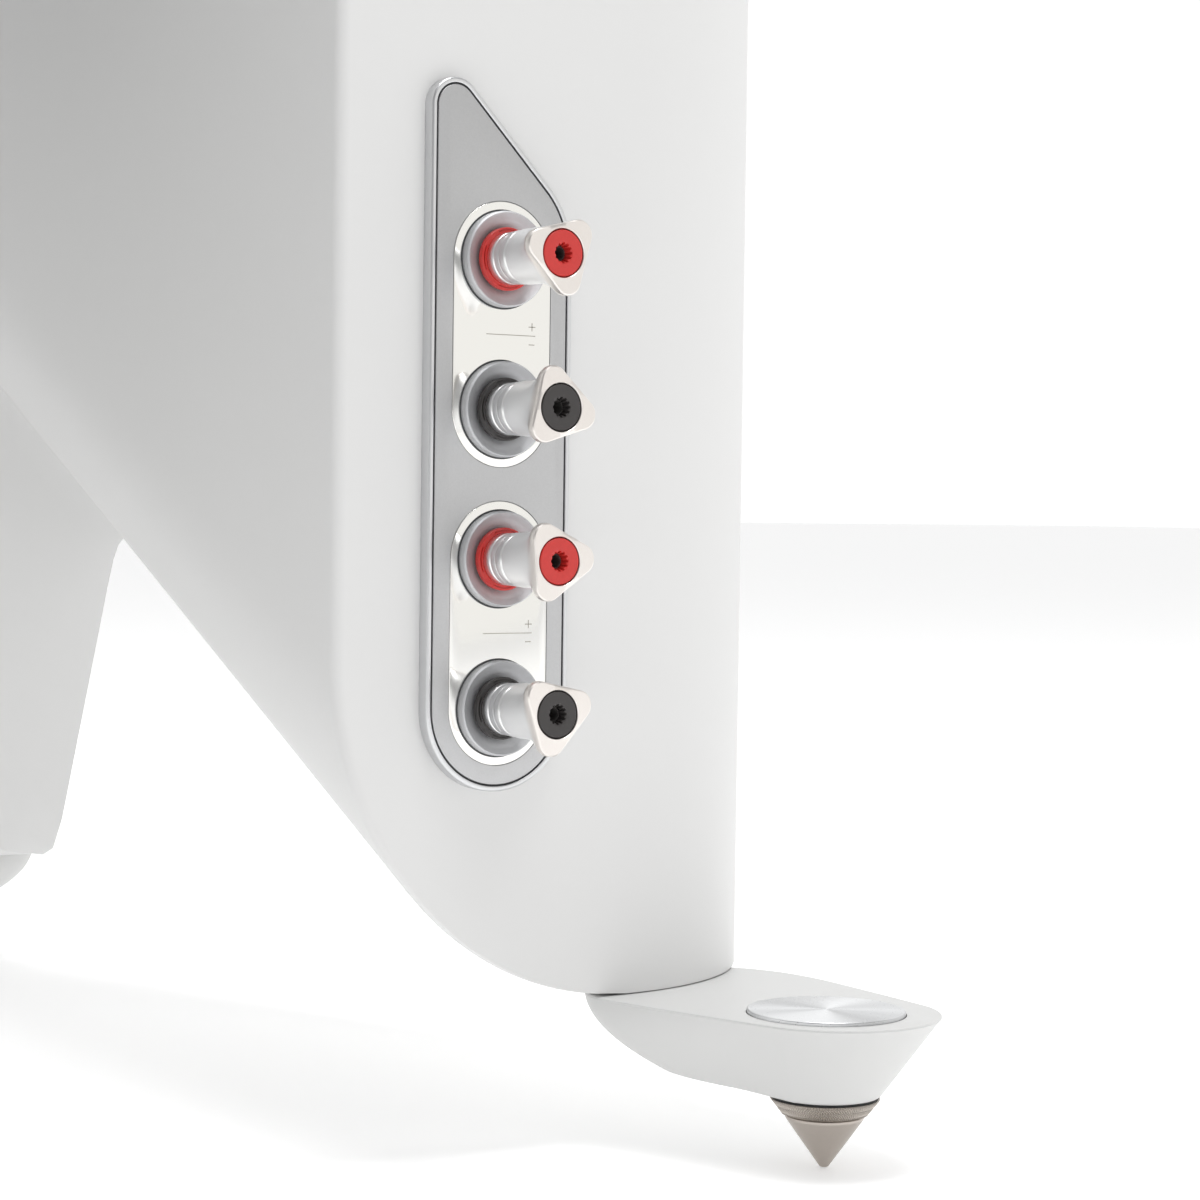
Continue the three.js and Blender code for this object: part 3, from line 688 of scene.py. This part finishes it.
DISH_SHADE_R = DISH_R + 0.5
DISH_PROFILE = rounded([(0, 4.3), (8.2, 4.3), (9.2, 4.6), (11.4, 5.7), (12.9, DISH_TOP - 0.1, 0.3),
                        (13.0, DISH_TOP, 0.2), (DISH_R, DISH_TOP - 0.5, 0.4), (DISH_R, 3.6)], 0.5)
inlay_piece("low_inlay", 0)
inlay_piece("high_inlay", 2)
for i, where in enumerate(POST_FRAME):
    dish = turned_metal(f"turned_dish_{i + 1}", (0.68, 0.685, 0.70), 0.6, where.translation,
                        "y", 0.0003, 1.5e-6)
    piece(f"post_{i + 1}_dish", *turned(DISH_PROFILE, 128), where, dish, "speaker", "satin_aluminium")
    # Painted shade: a near-black ring round each dish, for the shadow line where the dish stands off the
    # plate.
    seat = turned([(DISH_R - 0.1, 3.6), (DISH_SHADE_R, 3.6), (DISH_SHADE_R, PLATE_FACE + 0.08),
                   (DISH_R - 0.1, PLATE_FACE + 0.08)], 128, closed=True)
    piece(f"post_{i + 1}_dish_shade_ring", *seat, where, GROOVE_SHADE, "speaker", "satin_aluminium")

# %% [markdown]
# A thin engraved line and a plus and minus tell the two posts of a pair apart. They are shallow marks
# in the inlay, a shade darker than the polish, so they show only when looked for.

# %% Fine marks on the inlays
MARK = plain_metal("engraved_mark", (0.46, 0.44, 0.39), 0.55)
MARK_LIFT = 0.03


def bar(x, y, width, height):
    low, high = PLATE_FACE - 0.2, PLATE_FACE + MARK_LIFT
    return box_shape((x - width / 2, y - height / 2, low), (x + width / 2, y + height / 2, high))


def engraved_marks(name, first):
    centre = (first + 0.5) * PITCH
    bars = [bar(3.0, centre, 16.5, 0.24), bar(10.1, centre + 2.5, 2.3, 0.26),
            bar(10.1, centre + 2.5, 0.26, 2.3), bar(10.0, centre - 2.5, 1.9, 0.26)]
    vertices, faces = [], []
    for corner, quads in bars:
        start = len(vertices)
        vertices += corner
        faces += [tuple(start + i for i in quad) for quad in quads]
    return piece(name, vertices, faces, POST_FRAME[0], MARK, "speaker", "mirror_chrome")


engraved_marks("low_pair_marks", 0)
engraved_marks("high_pair_marks", 2)


# %% [markdown]
# ## Binding posts
# From the plate outwards: a coloured collar that keeps the metal off the plate, a base with turned
# steps, a loose clamp ring, and a knob that screws down on it. The knob starts round and flares to
# three lobes that fingers can grip. A coloured socket fills its face.

# %% Collar, base and clamp ring
def collar_shape(steps=96):
    """Ring with four short slots moulded in its front face."""
    front, slot_deep = 6.95, 0.4
    rings = []
    profile = [(5.3, 5.35, 0), (8.85, 5.35, 0), (8.85, front - 0.2, 0), (8.7, front, 0), (8.3, front, 0),
               (8.27, front, 1), (7.93, front, 1), (7.9, front, 0), (5.3, front, 0)]
    for radius, height, slotted in profile:
        ring = []
        for k in range(steps):
            angle = math.tau * k / steps
            deep = slot_deep * slotted * (math.cos(4 * angle) > -0.2)
            ring.append((radius * math.cos(angle), radius * math.sin(angle), height - deep))
        rings.append(ring)
    return rings + rings[:1]


BASE_PROFILE = rounded([(0, 5.4), (4.9, 5.4), (4.9, 7.1), (7.35, 7.1), (7.35, 9.9), (7.0, 10.15),
                        (7.0, 10.45), (7.4, 10.7), (7.4, 13), (3.4, 13), (3.4, 18), (0, 18)], 0.15)
CLAMP_PROFILE = rounded([(3.8, 13.4), (7.55, 13.4), (7.55, 15.6), (7.2, 16.2), (3.8, 16.2)], 0.15,
                        closed=True)
KNOB_R = 7.75
LOBE_ANGLES = [18, 4.5, 107, 44]


def lobed_radius(angle, flare):
    """Rim of the knob in a direction from a lobe: a round triangle, faded in by flare."""
    lobe_r, lobe_out = 4.2, 7.6
    third = math.tau / 3
    off = abs((angle + third / 2) % third - third / 2)
    turn_point = math.atan2(lobe_r * math.sin(third / 2), lobe_out + lobe_r * math.cos(third / 2))
    if off < turn_point:
        rim = lobe_out * math.cos(off) + math.sqrt(lobe_r ** 2 - (lobe_out * math.sin(off)) ** 2)
    else:
        rim = (lobe_out * math.cos(third / 2) + lobe_r) / math.cos(third / 2 - off)
    return KNOB_R + (rim - KNOB_R) * flare


def knob_rings(lobe, steps=120):
    """Outside from the back to the face, then in and down the bore that the socket fills."""
    levels = [(16.65, 0, -0.35), (16.95, 0, -0.03), (17.4, 0, 0), (20, 0, 0), (23, 0.0, 0), (25, 0.05, 0),
              (26.5, 0.14, 0), (28, 0.3, 0), (29.3, 0.52, 0), (30.4, 0.75, 0), (31.3, 0.93, 0),
              (31.9, 1, -0.05), (32.3, 1, 0), (33.3, 1, 0), (33.7, 1, -0.12), (33.95, 1, -0.5)]
    rings = []
    for height, flare, trim in levels:
        ring = []
        for k in range(steps):
            angle = math.tau * k / steps
            radius = lobed_radius(angle, flare) + trim
            turn = angle + math.radians(lobe)
            ring.append((radius * math.cos(turn), radius * math.sin(turn), height))
        rings.append(ring)
    for radius, height in ((6.85, 34), (6.7, 33.85), (6.65, 33.4), (6.65, 30), (4.2, 29), (4.0, 16.65)):
        rings.append([(radius * math.cos(math.tau * k / steps + math.radians(lobe)),
                       radius * math.sin(math.tau * k / steps + math.radians(lobe)), height)
                      for k in range(steps)])
    rings.append(rings[0])
    return rings


# %% [markdown]
# The socket's mouth is a small funnel with a dozen flutes that lead a plug into the hole, so its radius
# swings in and out round the funnel.

# %% Socket with a fluted funnel
def socket_rings(steps=144, flutes=12):
    levels = [(3.4, 20.2, 0), (3.4, 28.9, 0), (6.2, 28.9, 0), (6.4, 29.2, 0), (6.4, 33.75, 0),
              (6.2, 34.05, 0), (3.8, 34.1, 0), (2.9, 34.05, 0), (2.68, 33.8, 0.16), (2.45, 33, 0.24),
              (2.3, 32, 0.2), (2.2, 31.2, 0), (2.2, 20.2, 0)]
    rings = []
    for radius, height, flute in levels:
        ring = []
        for k in range(steps):
            angle = math.tau * k / steps
            spread = radius + flute * (1 if math.cos(flutes * angle) > 0 else -1)
            ring.append((spread * math.cos(angle), spread * math.sin(angle), height))
        rings.append(ring)
    rings.append(rings[0])
    return rings


SOCKET_CORE = moulded("socket_contact", (0.10, 0.095, 0.09), 0.35)
for i, where in enumerate(POST_FRAME):
    post = POSTS[i]
    plastic, slot = (RED, "red_plastic") if i % 2 else (BLACK, "black_plastic")
    piece(f"{post}_collar_ring", *lofted(collar_shape(), capped=False), where, plastic, "speaker", slot,
          [f"{post}_collar"])
    piece(f"{post}_base", *turned(BASE_PROFILE, 96), where, BARREL, "speaker", "bright_aluminium",
          [f"{post}_stem"])
    piece(f"{post}_clamp_washer", *turned(CLAMP_PROFILE, 96, closed=True), where, BARREL, f"{post}_clamp",
          "bright_aluminium", [f"{post}_clamp_ring"])
    piece(f"{post}_lobed_knob", *lofted(knob_rings(LOBE_ANGLES[i]), capped=False), where, NICKEL,
          f"{post}_knob_turning", "pearl_nickel", [f"{post}_knob"])
    piece(f"{post}_socket_face", *lofted(socket_rings(), capped=False), where, plastic,
          f"{post}_knob_turning", slot, [f"{post}_socket"])
    contact = turned([(0, 20.4), (2.15, 20.4), (2.15, 31.4), (1.75, 31.6), (1.75, 21.5), (0, 21.5)], 32)
    piece(f"{post}_contact", *contact, where, SOCKET_CORE, f"{post}_knob_turning", "black_plastic")
print("posts made")


# %% [markdown]
# ## Outrigger feet
# Each arm is a casting: round and tapering under its cap, widening towards the cabinet, and hollowed
# upwards like a boat's bow where it meets the cabinet's underside. Rings from the top outline down to
# the small foot give that shape, with a rule that decides how early each part of the outline moves in.
# The casting ends a little above the simple solid's foot, so that the ring under it shows all its knurl.

# %% The arm's outline
ARM_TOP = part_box("left_rear_arm")[1].z / MM
FOOT_LIFT = 0.9
ARM_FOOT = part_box("left_rear_arm")[0].z / MM + FOOT_LIFT
CAP_R = (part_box("left_rear_cap")[1].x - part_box("left_rear_cap")[0].x) / 2 / MM
CAP_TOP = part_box("left_rear_cap")[1].z / MM
ARM_END_R, FOOT_R = 31, 15.6
# Each row: a point of the top outline, the foot's point under it, and how late it moves between them.
INBOARD = [((-33.0, -15), (-16.6, -16), 1.2), ((-36.2, -29), (-18.4, -29), 1.4),
           ((-39.2, -43), (-19.2, -40), 1.7), ((-41.0, -54), (-18.4, -48), 1.9),
           ((-38.0, -65), (-15.0, -54), 1.9), ((-28.5, -77), (-9.5, -57.5), 1.9),
           ((-12, -86), (-2, -59.5), 1.9), ((8, -89), (6, -59.5), 1.9), ((24, -85), (12, -57), 1.9),
           ((34, -71), (17, -51), 1.8), ((37.6, -52), (18.4, -40), 1.6), ((36.5, -29), (17, -22), 1.2)]


def mixed(a, b, t):
    return a + (b - a) * t


def through(points, per_span):
    """A smooth closed curve through its points."""
    count, curve = len(points), []
    for i in range(count):
        p0, p1, p2, p3 = (Vector(points[(i + k - 1) % count]) for k in range(4))
        for k in range(per_span):
            t = k / per_span
            curve.append(tuple(0.5 * (2 * p1 + (p2 - p0) * t + (2 * p0 - 5 * p1 + 4 * p2 - p3) * t ** 2
                                      + (3 * p1 - p0 - 3 * p2 + p3) * t ** 3)))
    return curve


def arm_ring(level, inset=0):
    radius = mixed(ARM_END_R, FOOT_R, level)
    centre = mixed(2.8, 0, level)
    points = []
    for k in range(13):
        angle = math.radians(mixed(4, mixed(167, 174, level), k / 12))
        points.append((centre + (radius - inset) * math.cos(angle), (radius - inset) * math.sin(angle)))
    for top, foot, reach in INBOARD:
        share = level ** reach
        x, y = mixed(top[0], foot[0], share), mixed(top[1], foot[1], share)
        pull = inset * (1 + 1.6 * level)
        points.append((x - math.copysign(pull, x), y + pull * (top[1] < -60)))
    return through(points, 6)


def arm_rings():
    depth = ARM_TOP - ARM_FOOT
    rings = [[(x, y, ARM_TOP) for x, y in arm_ring(0, 0.9)],
             [(x, y, ARM_TOP - 0.15) for x, y in arm_ring(0, 0.35)],
             [(x, y, ARM_TOP - 0.7) for x, y in arm_ring(0.02, 0)]]
    for k in range(1, 25):
        level = mixed(0.02, 0.955, k / 24)
        rings.append([(x, y, ARM_TOP - depth * level) for x, y in arm_ring(level)])
    for k in range(1, 5):
        turn = math.pi / 2 * k / 4
        level = mixed(0.955, 1, math.sin(turn))
        outline = arm_ring(level, 0.7 * (1 - math.cos(turn)))
        rings.append([(x, y, ARM_TOP - depth * level) for x, y in outline])
    return rings


# %% [markdown]
# The levelling ring is gripped by a diamond knurl. Two sets of crossed grooves, pushed into the mesh
# itself, make it. The cap over each foot is spun: its fine rings are only in its finish and stretch its
# highlights, and the bright fans across it are painted reflection in its colour.

# %% Ring, spike and cap
RING_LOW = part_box("left_rear_levelling_ring")[0].z / MM
RING_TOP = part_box("left_rear_levelling_ring")[1].z / MM + FOOT_LIFT + 0.1
SPIKE_R = 11.6


def knurled_ring(steps=840, rows=20, ridges=120):
    low_r, high_r = 12.4, 15.75
    profile = [(4.5, RING_LOW), (low_r - 0.35, RING_LOW), (low_r, RING_LOW + 0.12)]
    band = [(mixed(low_r + 0.1, high_r, k / rows), mixed(RING_LOW + 0.25, RING_TOP - 0.3, k / rows), True)
            for k in range(rows + 1)]
    profile = [(r, h, False) for r, h in profile] + band
    profile += [(high_r, RING_TOP - 0.1, False), (high_r - 0.3, RING_TOP, False), (4.5, RING_TOP, False)]
    rings = []
    for radius, height, cut in profile:
        ring = []
        for k in range(steps):
            angle = math.tau * k / steps
            deep = 0
            if cut:
                lift = (height - RING_LOW) * 3.4
                around = ridges / 2 * angle
                crossed = max(abs(math.cos(around + lift)), abs(math.cos(around - lift)))
                deep = 0.45 * crossed ** 4
            ring.append(((radius - deep) * math.cos(angle), (radius - deep) * math.sin(angle), height))
        rings.append(ring)
    rings.append(rings[0])
    return rings


SPIKE_PROFILE = rounded([(0, 1.0), (0.55, 0.6), (0.75, 0.0, 0.1), (1.25, 0.12, 0.3),
                         (SPIKE_R - 0.35, 14.1, 0.5), (SPIKE_R - 0.3, 14.9), (SPIKE_R - 0.8, 15.05),
                         (4, 15.05), (4, 35.4), (0, 35.4)], 0.2)
CAP_PROFILE = rounded([(0, ARM_TOP - 2.1), (CAP_R, ARM_TOP - 2.1), (CAP_R, CAP_TOP), (0, CAP_TOP)], 0.45)


def build_foot(side, end):
    label = f"{side}_{end}"
    cap_middle = middle(f"{label}_cap")
    facing = 1 if end == "rear" else -1
    axes = (Vector((SIDES[side], 0, 0)), Vector((0, facing, 0)), Vector((0, 0, 1)))
    where = Matrix.Translation((cap_middle.x, cap_middle.y, 0)) @ Matrix(axes).transposed().to_4x4()
    casting = piece(f"{label}_arm_casting", *lofted(arm_rings()), where, ARM_WHITE, "speaker",
                    "white_powder_coat", [f"{label}_arm"])
    seat_r, seat_low, above = CAP_R + 0.3, ARM_TOP - 2.3, ARM_TOP + 2
    recess = turned([(0, seat_low), (seat_r, seat_low), (seat_r, above), (0, above)])
    carve(casting, *recess, where)
    spun = spun_metal_painted_fans(f"spun_cap_{label}", (0.80, 0.81, 0.82), cap_middle)
    piece(f"{label}_spun_cap", *turned(CAP_PROFILE, 160), where, spun, "speaker", "spun_aluminium",
          [f"{label}_cap"])
    piece(f"{label}_knurled_ring", *lofted(knurled_ring(), capped=False), where, SPIKE_STEEL,
          f"{label}_ring_turn", "warm_steel", [f"{label}_levelling_ring"])
    turned_spike = turned_metal(f"turned_spike_{label}", (0.47, 0.425, 0.385), 0.3, cap_middle,
                                "z", 0.0003, 1e-6)
    piece(f"{label}_cone_spike", *turned(SPIKE_PROFILE, 128), where, turned_spike, f"{label}_spike_moving",
          "warm_steel", [f"{label}_spike"])
    gasket = rounded([(5, RING_TOP + 0.02), (15.3, RING_TOP + 0.02), (15.3, ARM_FOOT - 0.02),
                      (5, ARM_FOOT - 0.02)], 0.05, closed=True)
    piece(f"{label}_gasket", *turned(gasket, 96, closed=True), where, RUBBER, "speaker", "black_plastic")


for side in SIDES:
    for end in ("rear", "front"):
        build_foot(side, end)
print("feet made")


# %% [markdown]
# ## Drivers
# A driver is turned work too: a pressed basket with its magnet, a cone with its coil, and between them
# a rubber roll. The roll is fixed to the basket outside and to the cone inside, so it bends between
# the two bodies as the cone travels.

# %% Parts shared by every driver
CONE_FINISH = plain_metal("coated_cone", (0.42, 0.43, 0.45), 0.42, 2600, 3e-6, 0.1)
TRIM = plain_metal("driver_trim", (0.62, 0.625, 0.635), 0.34)


def roll_profile(inner, outer, height, skin=0.7, steps=14):
    """Half round between the cone's edge and the basket's edge, with a thickness."""
    (r0, z0), (r1, z1) = inner, outer
    points = []
    for k in range(steps + 1):
        turn = math.pi * k / steps
        share = (1 - math.cos(turn)) / 2
        points.append((mixed(r0, r1, share), mixed(z0, z1, share) + height * math.sin(turn)))
    under = [(r, z - skin) for r, z in reversed(points)]
    outer_lip = [(r1 + 1.2, z1), (r1 + 1.2, z1 - skin)]
    return [(r0 - 2.5, z0)] + points + outer_lip + under + [(r0 - 2.5, z0 - skin)]


def build_roll(name, profile, where, inner_r, outer_r, moving):
    roll = piece(name, *turned(profile, 128, closed=True), where, RUBBER, None, "black_plastic")
    along = where.to_3x3() @ Vector((0, 0, 1))
    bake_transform(roll, "speaker", moving, start=where.translation, end=where.translation - along * 0.006)
    weights = roll.data.attributes["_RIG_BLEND"]
    inverse = where.inverted()
    for vertex, weight in zip(roll.data.vertices, weights.data):
        local = inverse @ vertex.co
        share = (outer_r * MM - math.hypot(local.x, local.y)) / ((outer_r - inner_r) * MM)
        share = min(1, max(0, share))
        weight.value = share * share * (3 - 2 * share)
    return roll


def screw_heads(count, ring_r, head_r, height, low):
    """Round heads with a round socket, set round a flange."""
    vertices, faces = [], []
    outline = [(head_r, low), (head_r, height - 0.3), (head_r - 0.3, height), (head_r * 0.55, height),
               (head_r * 0.5, height - 1.2), (0, height - 1.2)]
    for k in range(count):
        angle = math.tau * (k + 0.5) / count
        x, y = ring_r * math.cos(angle), ring_r * math.sin(angle)
        start = len(vertices)
        points, quads = turned(outline, 24)
        vertices += [(px + x, py + y, pz) for px, py, pz in points]
        faces += [tuple(start + i for i in quad) for quad in quads]
        faces.append(tuple(start + i for i in range(24)))
    return vertices, faces


# %% Bass drivers
BASS_CHASSIS = rounded([(0, -95.8), (59.8, -95.8), (59.8, -67), (51, -64.2), (90.8, -13), (90.8, -4.6),
                        (103.9, -4.6), (103.9, -0.9), (89, -0.9), (88.3, -13), (49.5, -61.2),
                        (0, -61.2)], 1.2)
BASS_TRIM = rounded([(92, -1.0), (103.9, -1.0), (103.9, 0, 0.8), (93.2, 0, 0.8), (92, -0.5)], 0.2,
                    closed=True)
BASS_CONE = [(0, -28), (22, -29.5), (24, -31), (24, -52), (26.8, -52), (26.8, -32), (50, -21.2), (79, -9)]
BASS_CONE += [(79.4, -6.2)] + [(79.4 * math.cos(a), -6.2 - 17.6 * math.sin(a) ** 0.85)
                               for a in (math.pi / 2 * k / 14 for k in range(1, 14))] + [(0, -23.9)]


def build_bass(side, level):
    label = f"{side}_{level}_bass"
    spot = middle(f"{label}_chassis")
    spot.x = SIDES[side] * INNER * MM
    where = axes_at(spot, (0, 1, 0), (-SIDES[side], 0, 0))
    moving = f"{label}_moving"
    piece(f"{label}_basket", *turned(BASS_CHASSIS, 128), where, SATIN_BLACK, "speaker", "black_metal",
          [f"{label}_chassis"])
    piece(f"{label}_trim", *turned(BASS_TRIM, 160, closed=True), where, TRIM, "speaker", "bright_aluminium")
    piece(f"{label}_diaphragm", *turned(BASS_CONE, 128), where, CONE_FINISH, moving, "cone",
          [f"{label}_cone"])
    build_roll(f"{label}_roll", roll_profile((80.2, -6.4), (90.2, -2), 4.2), where, 80.2, 90.2, moving)
    piece(f"{label}_screws", *screw_heads(8, 97.8, 2.6, 0.25, -1.5), where, SATIN_BLACK, "speaker",
          "black_metal")


for side in SIDES:
    for level in ("lower", "upper"):
        build_bass(side, level)

# %% [markdown]
# ## The pod between the cabinets
# The pod is a capsule seen from the front. Its front edge is rounded and its back narrows like a boat,
# so that sound leaves it cleanly. The drivers sit in stepped holes.

# %% Pod housing
POD_LOW, POD_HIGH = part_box("pod_housing")
POD_HALF = POD_HIGH.x / MM
POD_LONG = (POD_HIGH.z - POD_LOW.z) / 2 / MM
POD_MIDDLE = (POD_HIGH.z + POD_LOW.z) / 2
POD_FRONT = axes_at(Vector((0, POD_LOW.y, POD_MIDDLE)), (1, 0, 0), (0, -1, 0))
POD_DEPTH = (POD_HIGH.y - POD_LOW.y) / MM


def pod_ring(inset, height):
    straight = POD_LONG - POD_HALF
    return [(x, y, height) for x, y in stadium(POD_HALF - inset, -straight, straight, 36)]


def pod_rings(edge=8, tail=70, waist=34):
    rings = [pod_ring(edge * (1 - math.sin(a)), -edge * (1 - math.cos(a)))
             for a in (math.pi / 2 * k / 10 for k in range(11))]
    rings += [pod_ring(0, -mixed(edge, POD_DEPTH - tail, k / 4)) for k in range(1, 5)]
    for k in range(1, 21):
        turn = math.pi / 2 * k / 20
        rings.append(pod_ring(waist * (1 - math.cos(turn)), -(POD_DEPTH - tail) - tail * math.sin(turn)))
    return rings


HOUSING = piece("pod_shell", *lofted(pod_rings()), POD_FRONT, WHITE, "speaker", "white_lacquer",
                ["pod_housing"])
MID_UP = (middle("upper_mid_chassis").z - POD_MIDDLE) / MM
SEATS = [(MID_UP, 54.3, 46.5, 3.8, 62), (0, 38.3, 31, 4.2, 38), (-MID_UP, 54.3, 46.5, 3.8, 62)]
for up, flange, hole, step, deep in SEATS:
    seat = turned([(0, 3), (flange, 3), (flange, -step), (hole, -step), (hole, -deep), (0, -deep)], 128)
    carve(HOUSING, *seat, POD_FRONT @ Matrix.Translation((0, up * MM, 0)))

# %% Midrange drivers and tweeter
MID_CHASSIS = rounded([(0, -57.8), (35.8, -57.8), (35.8, -40), (31, -38), (45.3, -9), (45.3, -3.6),
                       (53.9, -3.6), (53.9, 0), (44.4, 0), (43.4, -9), (31, -35.2), (0, -35.2)], 0.8)
MID_CONE = [(0, -16), (12, -17.4), (13, -19), (13, -30), (14.8, -30), (14.8, -19), (38, -6.2), (38.2, -3.6)]
MID_CONE += [(38.2 * math.cos(a), -3.6 - 9.4 * math.sin(a) ** 0.9)
             for a in (math.pi / 2 * k / 12 for k in range(1, 12))] + [(0, -13)]
TWEETER_PLATE = rounded([(0, -33.8), (29.8, -33.8), (29.8, -4.1), (37.9, -4.1), (37.9, 0), (32, -0.2, 3),
                         (24, -2.6, 4), (15.6, -5.6, 0.6), (15.6, -11), (0, -11)], 0.5)
DOME = rounded([(0, -1.8), (4, -2.1), (8, -3.5), (11, -5.8), (12.6, -8), (13.7, -8.2), (13.7, -9.6),
                (12, -9.6), (7, -5.2), (0, -3.2)], 0.9)


def build_mid(level):
    label = f"{level}_mid"
    up = MID_UP if level == "upper" else -MID_UP
    where = POD_FRONT @ Matrix.Translation((0, up * MM, 0))
    moving = f"{label}_moving"
    piece(f"{label}_basket", *turned(MID_CHASSIS, 128), where, SATIN_BLACK, "speaker", "black_metal",
          [f"{label}_chassis"])
    piece(f"{label}_diaphragm", *turned(MID_CONE, 112), where, CONE_FINISH, moving, "cone",
          [f"{label}_cone"])
    build_roll(f"{label}_roll", roll_profile((38.6, -4), (44.6, -1.4), 2.2, 0.5), where, 38.6, 44.6, moving)
    ring = rounded([(46, -0.6), (53.9, -0.6), (53.9, 0.4), (46.8, 0.4), (46, 0)], 0.35, closed=True)
    piece(f"{label}_trim", *turned(ring, 128, closed=True), where, TRIM, "speaker", "bright_aluminium")


for level in ("upper", "lower"):
    build_mid(level)
piece("tweeter_waveguide", *turned(TWEETER_PLATE, 128), POD_FRONT, SATIN_BLACK, "speaker", "black_metal",
      ["tweeter_plate"])
piece("tweeter_diaphragm", *turned(DOME, 96), POD_FRONT, CONE_FINISH, "tweeter_moving", "cone",
      ["tweeter_dome"])
print("drivers made")

# %% [markdown]
# ## Floor and light
# The floor is plain and pale. One large soft light stands behind the speaker and one hangs over it. The
# surroundings are brighter in front of the lens than behind it, so metal has something light and
# something grey to show.

# %% Floor
class Surroundings(Finish):
    """The light that comes from all round."""

    def __init__(self):
        world = bpy.data.worlds.new("studio")
        bpy.context.scene.world = world
        world.use_nodes = True
        self.tree = world.node_tree
        self.shader = next(n for n in self.tree.nodes if n.type == "BACKGROUND")


FLOOR_FINISH = Finish("pale_floor", Roughness=0.6, Specular_IOR_Level=0.1, Emission_Strength=0.36)
FLOOR_FINISH.shader.inputs["Emission Color"].default_value = (1, 1, 1, 1)
floor_tone = FLOOR_FINISH.blend(FLOOR_FINISH.noise(2), (0.86, 0.86, 0.86), (0.88, 0.88, 0.88))
FLOOR_FINISH.shade(Base_Color=floor_tone)
FLOOR_REACH = 30000
floor_shape = box_shape((-FLOOR_REACH, -FLOOR_REACH, -60), (FLOOR_REACH, FLOOR_REACH, -0.2))
FLOOR = piece("floor", *floor_shape, Matrix(), FLOOR_FINISH.material, None, None)
FLOOR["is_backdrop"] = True

# %% Surroundings and lights
SKY = Surroundings()
direction = SKY.node("ShaderNodeTexCoord", output="Generated")


def towards(way):
    """How squarely each part of the surroundings lies along a direction."""
    return SKY.node("ShaderNodeVectorMath", {"operation": "DOT_PRODUCT"}, {0: direction, 1: way}, "Value")


MIRRORED = Vector((HEADING.x, -HEADING.y, 0)).normalized()
ahead = towards(HEADING).between(0.0, 0.5)
panel = towards(MIRRORED).between(0.80, 0.93)
tone = SKY.blend(ahead, (0.36, 0.36, 0.362), (1.02, 1.02, 1.02))
tone = SKY.blend(panel, tone, (1.0, 0.99, 0.965))
SKY.tree.links.new(tone.socket, SKY.shader.inputs["Color"])
SKY.shader.inputs["Strength"].default_value = 1.0


def soft_light(name, spot, aim, width, height, power):
    lamp = bpy.data.lights.new(name, "AREA")
    lamp.shape = "RECTANGLE"
    lamp.size, lamp.size_y = width, height
    lamp.energy = power
    light = bpy.data.objects.new(name, lamp)
    light.location = spot
    light.rotation_euler = (Vector(aim) - Vector(spot)).to_track_quat("-Z", "Y").to_euler()
    bpy.context.scene.collection.objects.link(light)


soft_light("key_light", (-0.1, 3.2, 3.3), (-0.15, 0.22, 0.3), 2.0, 2.0, 13)
soft_light("top_light", (-0.1, 0.62, 3.0), (-0.2, 0.27, 0.1), 1.4, 1.0, 46)
bpy.context.scene.view_settings.view_transform = "Standard"

# %% The two boxes as plain lists
def plain(box):
    """Bounds as lists that a file can hold."""
    if isinstance(box, dict):
        return {key: plain(value) for key, value in box.items()}
    return [list(corner) if hasattr(corner, "__len__") else corner for corner in box]


{"cad_box": plain(CAD_BOX), "visual_box": plain(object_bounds())}
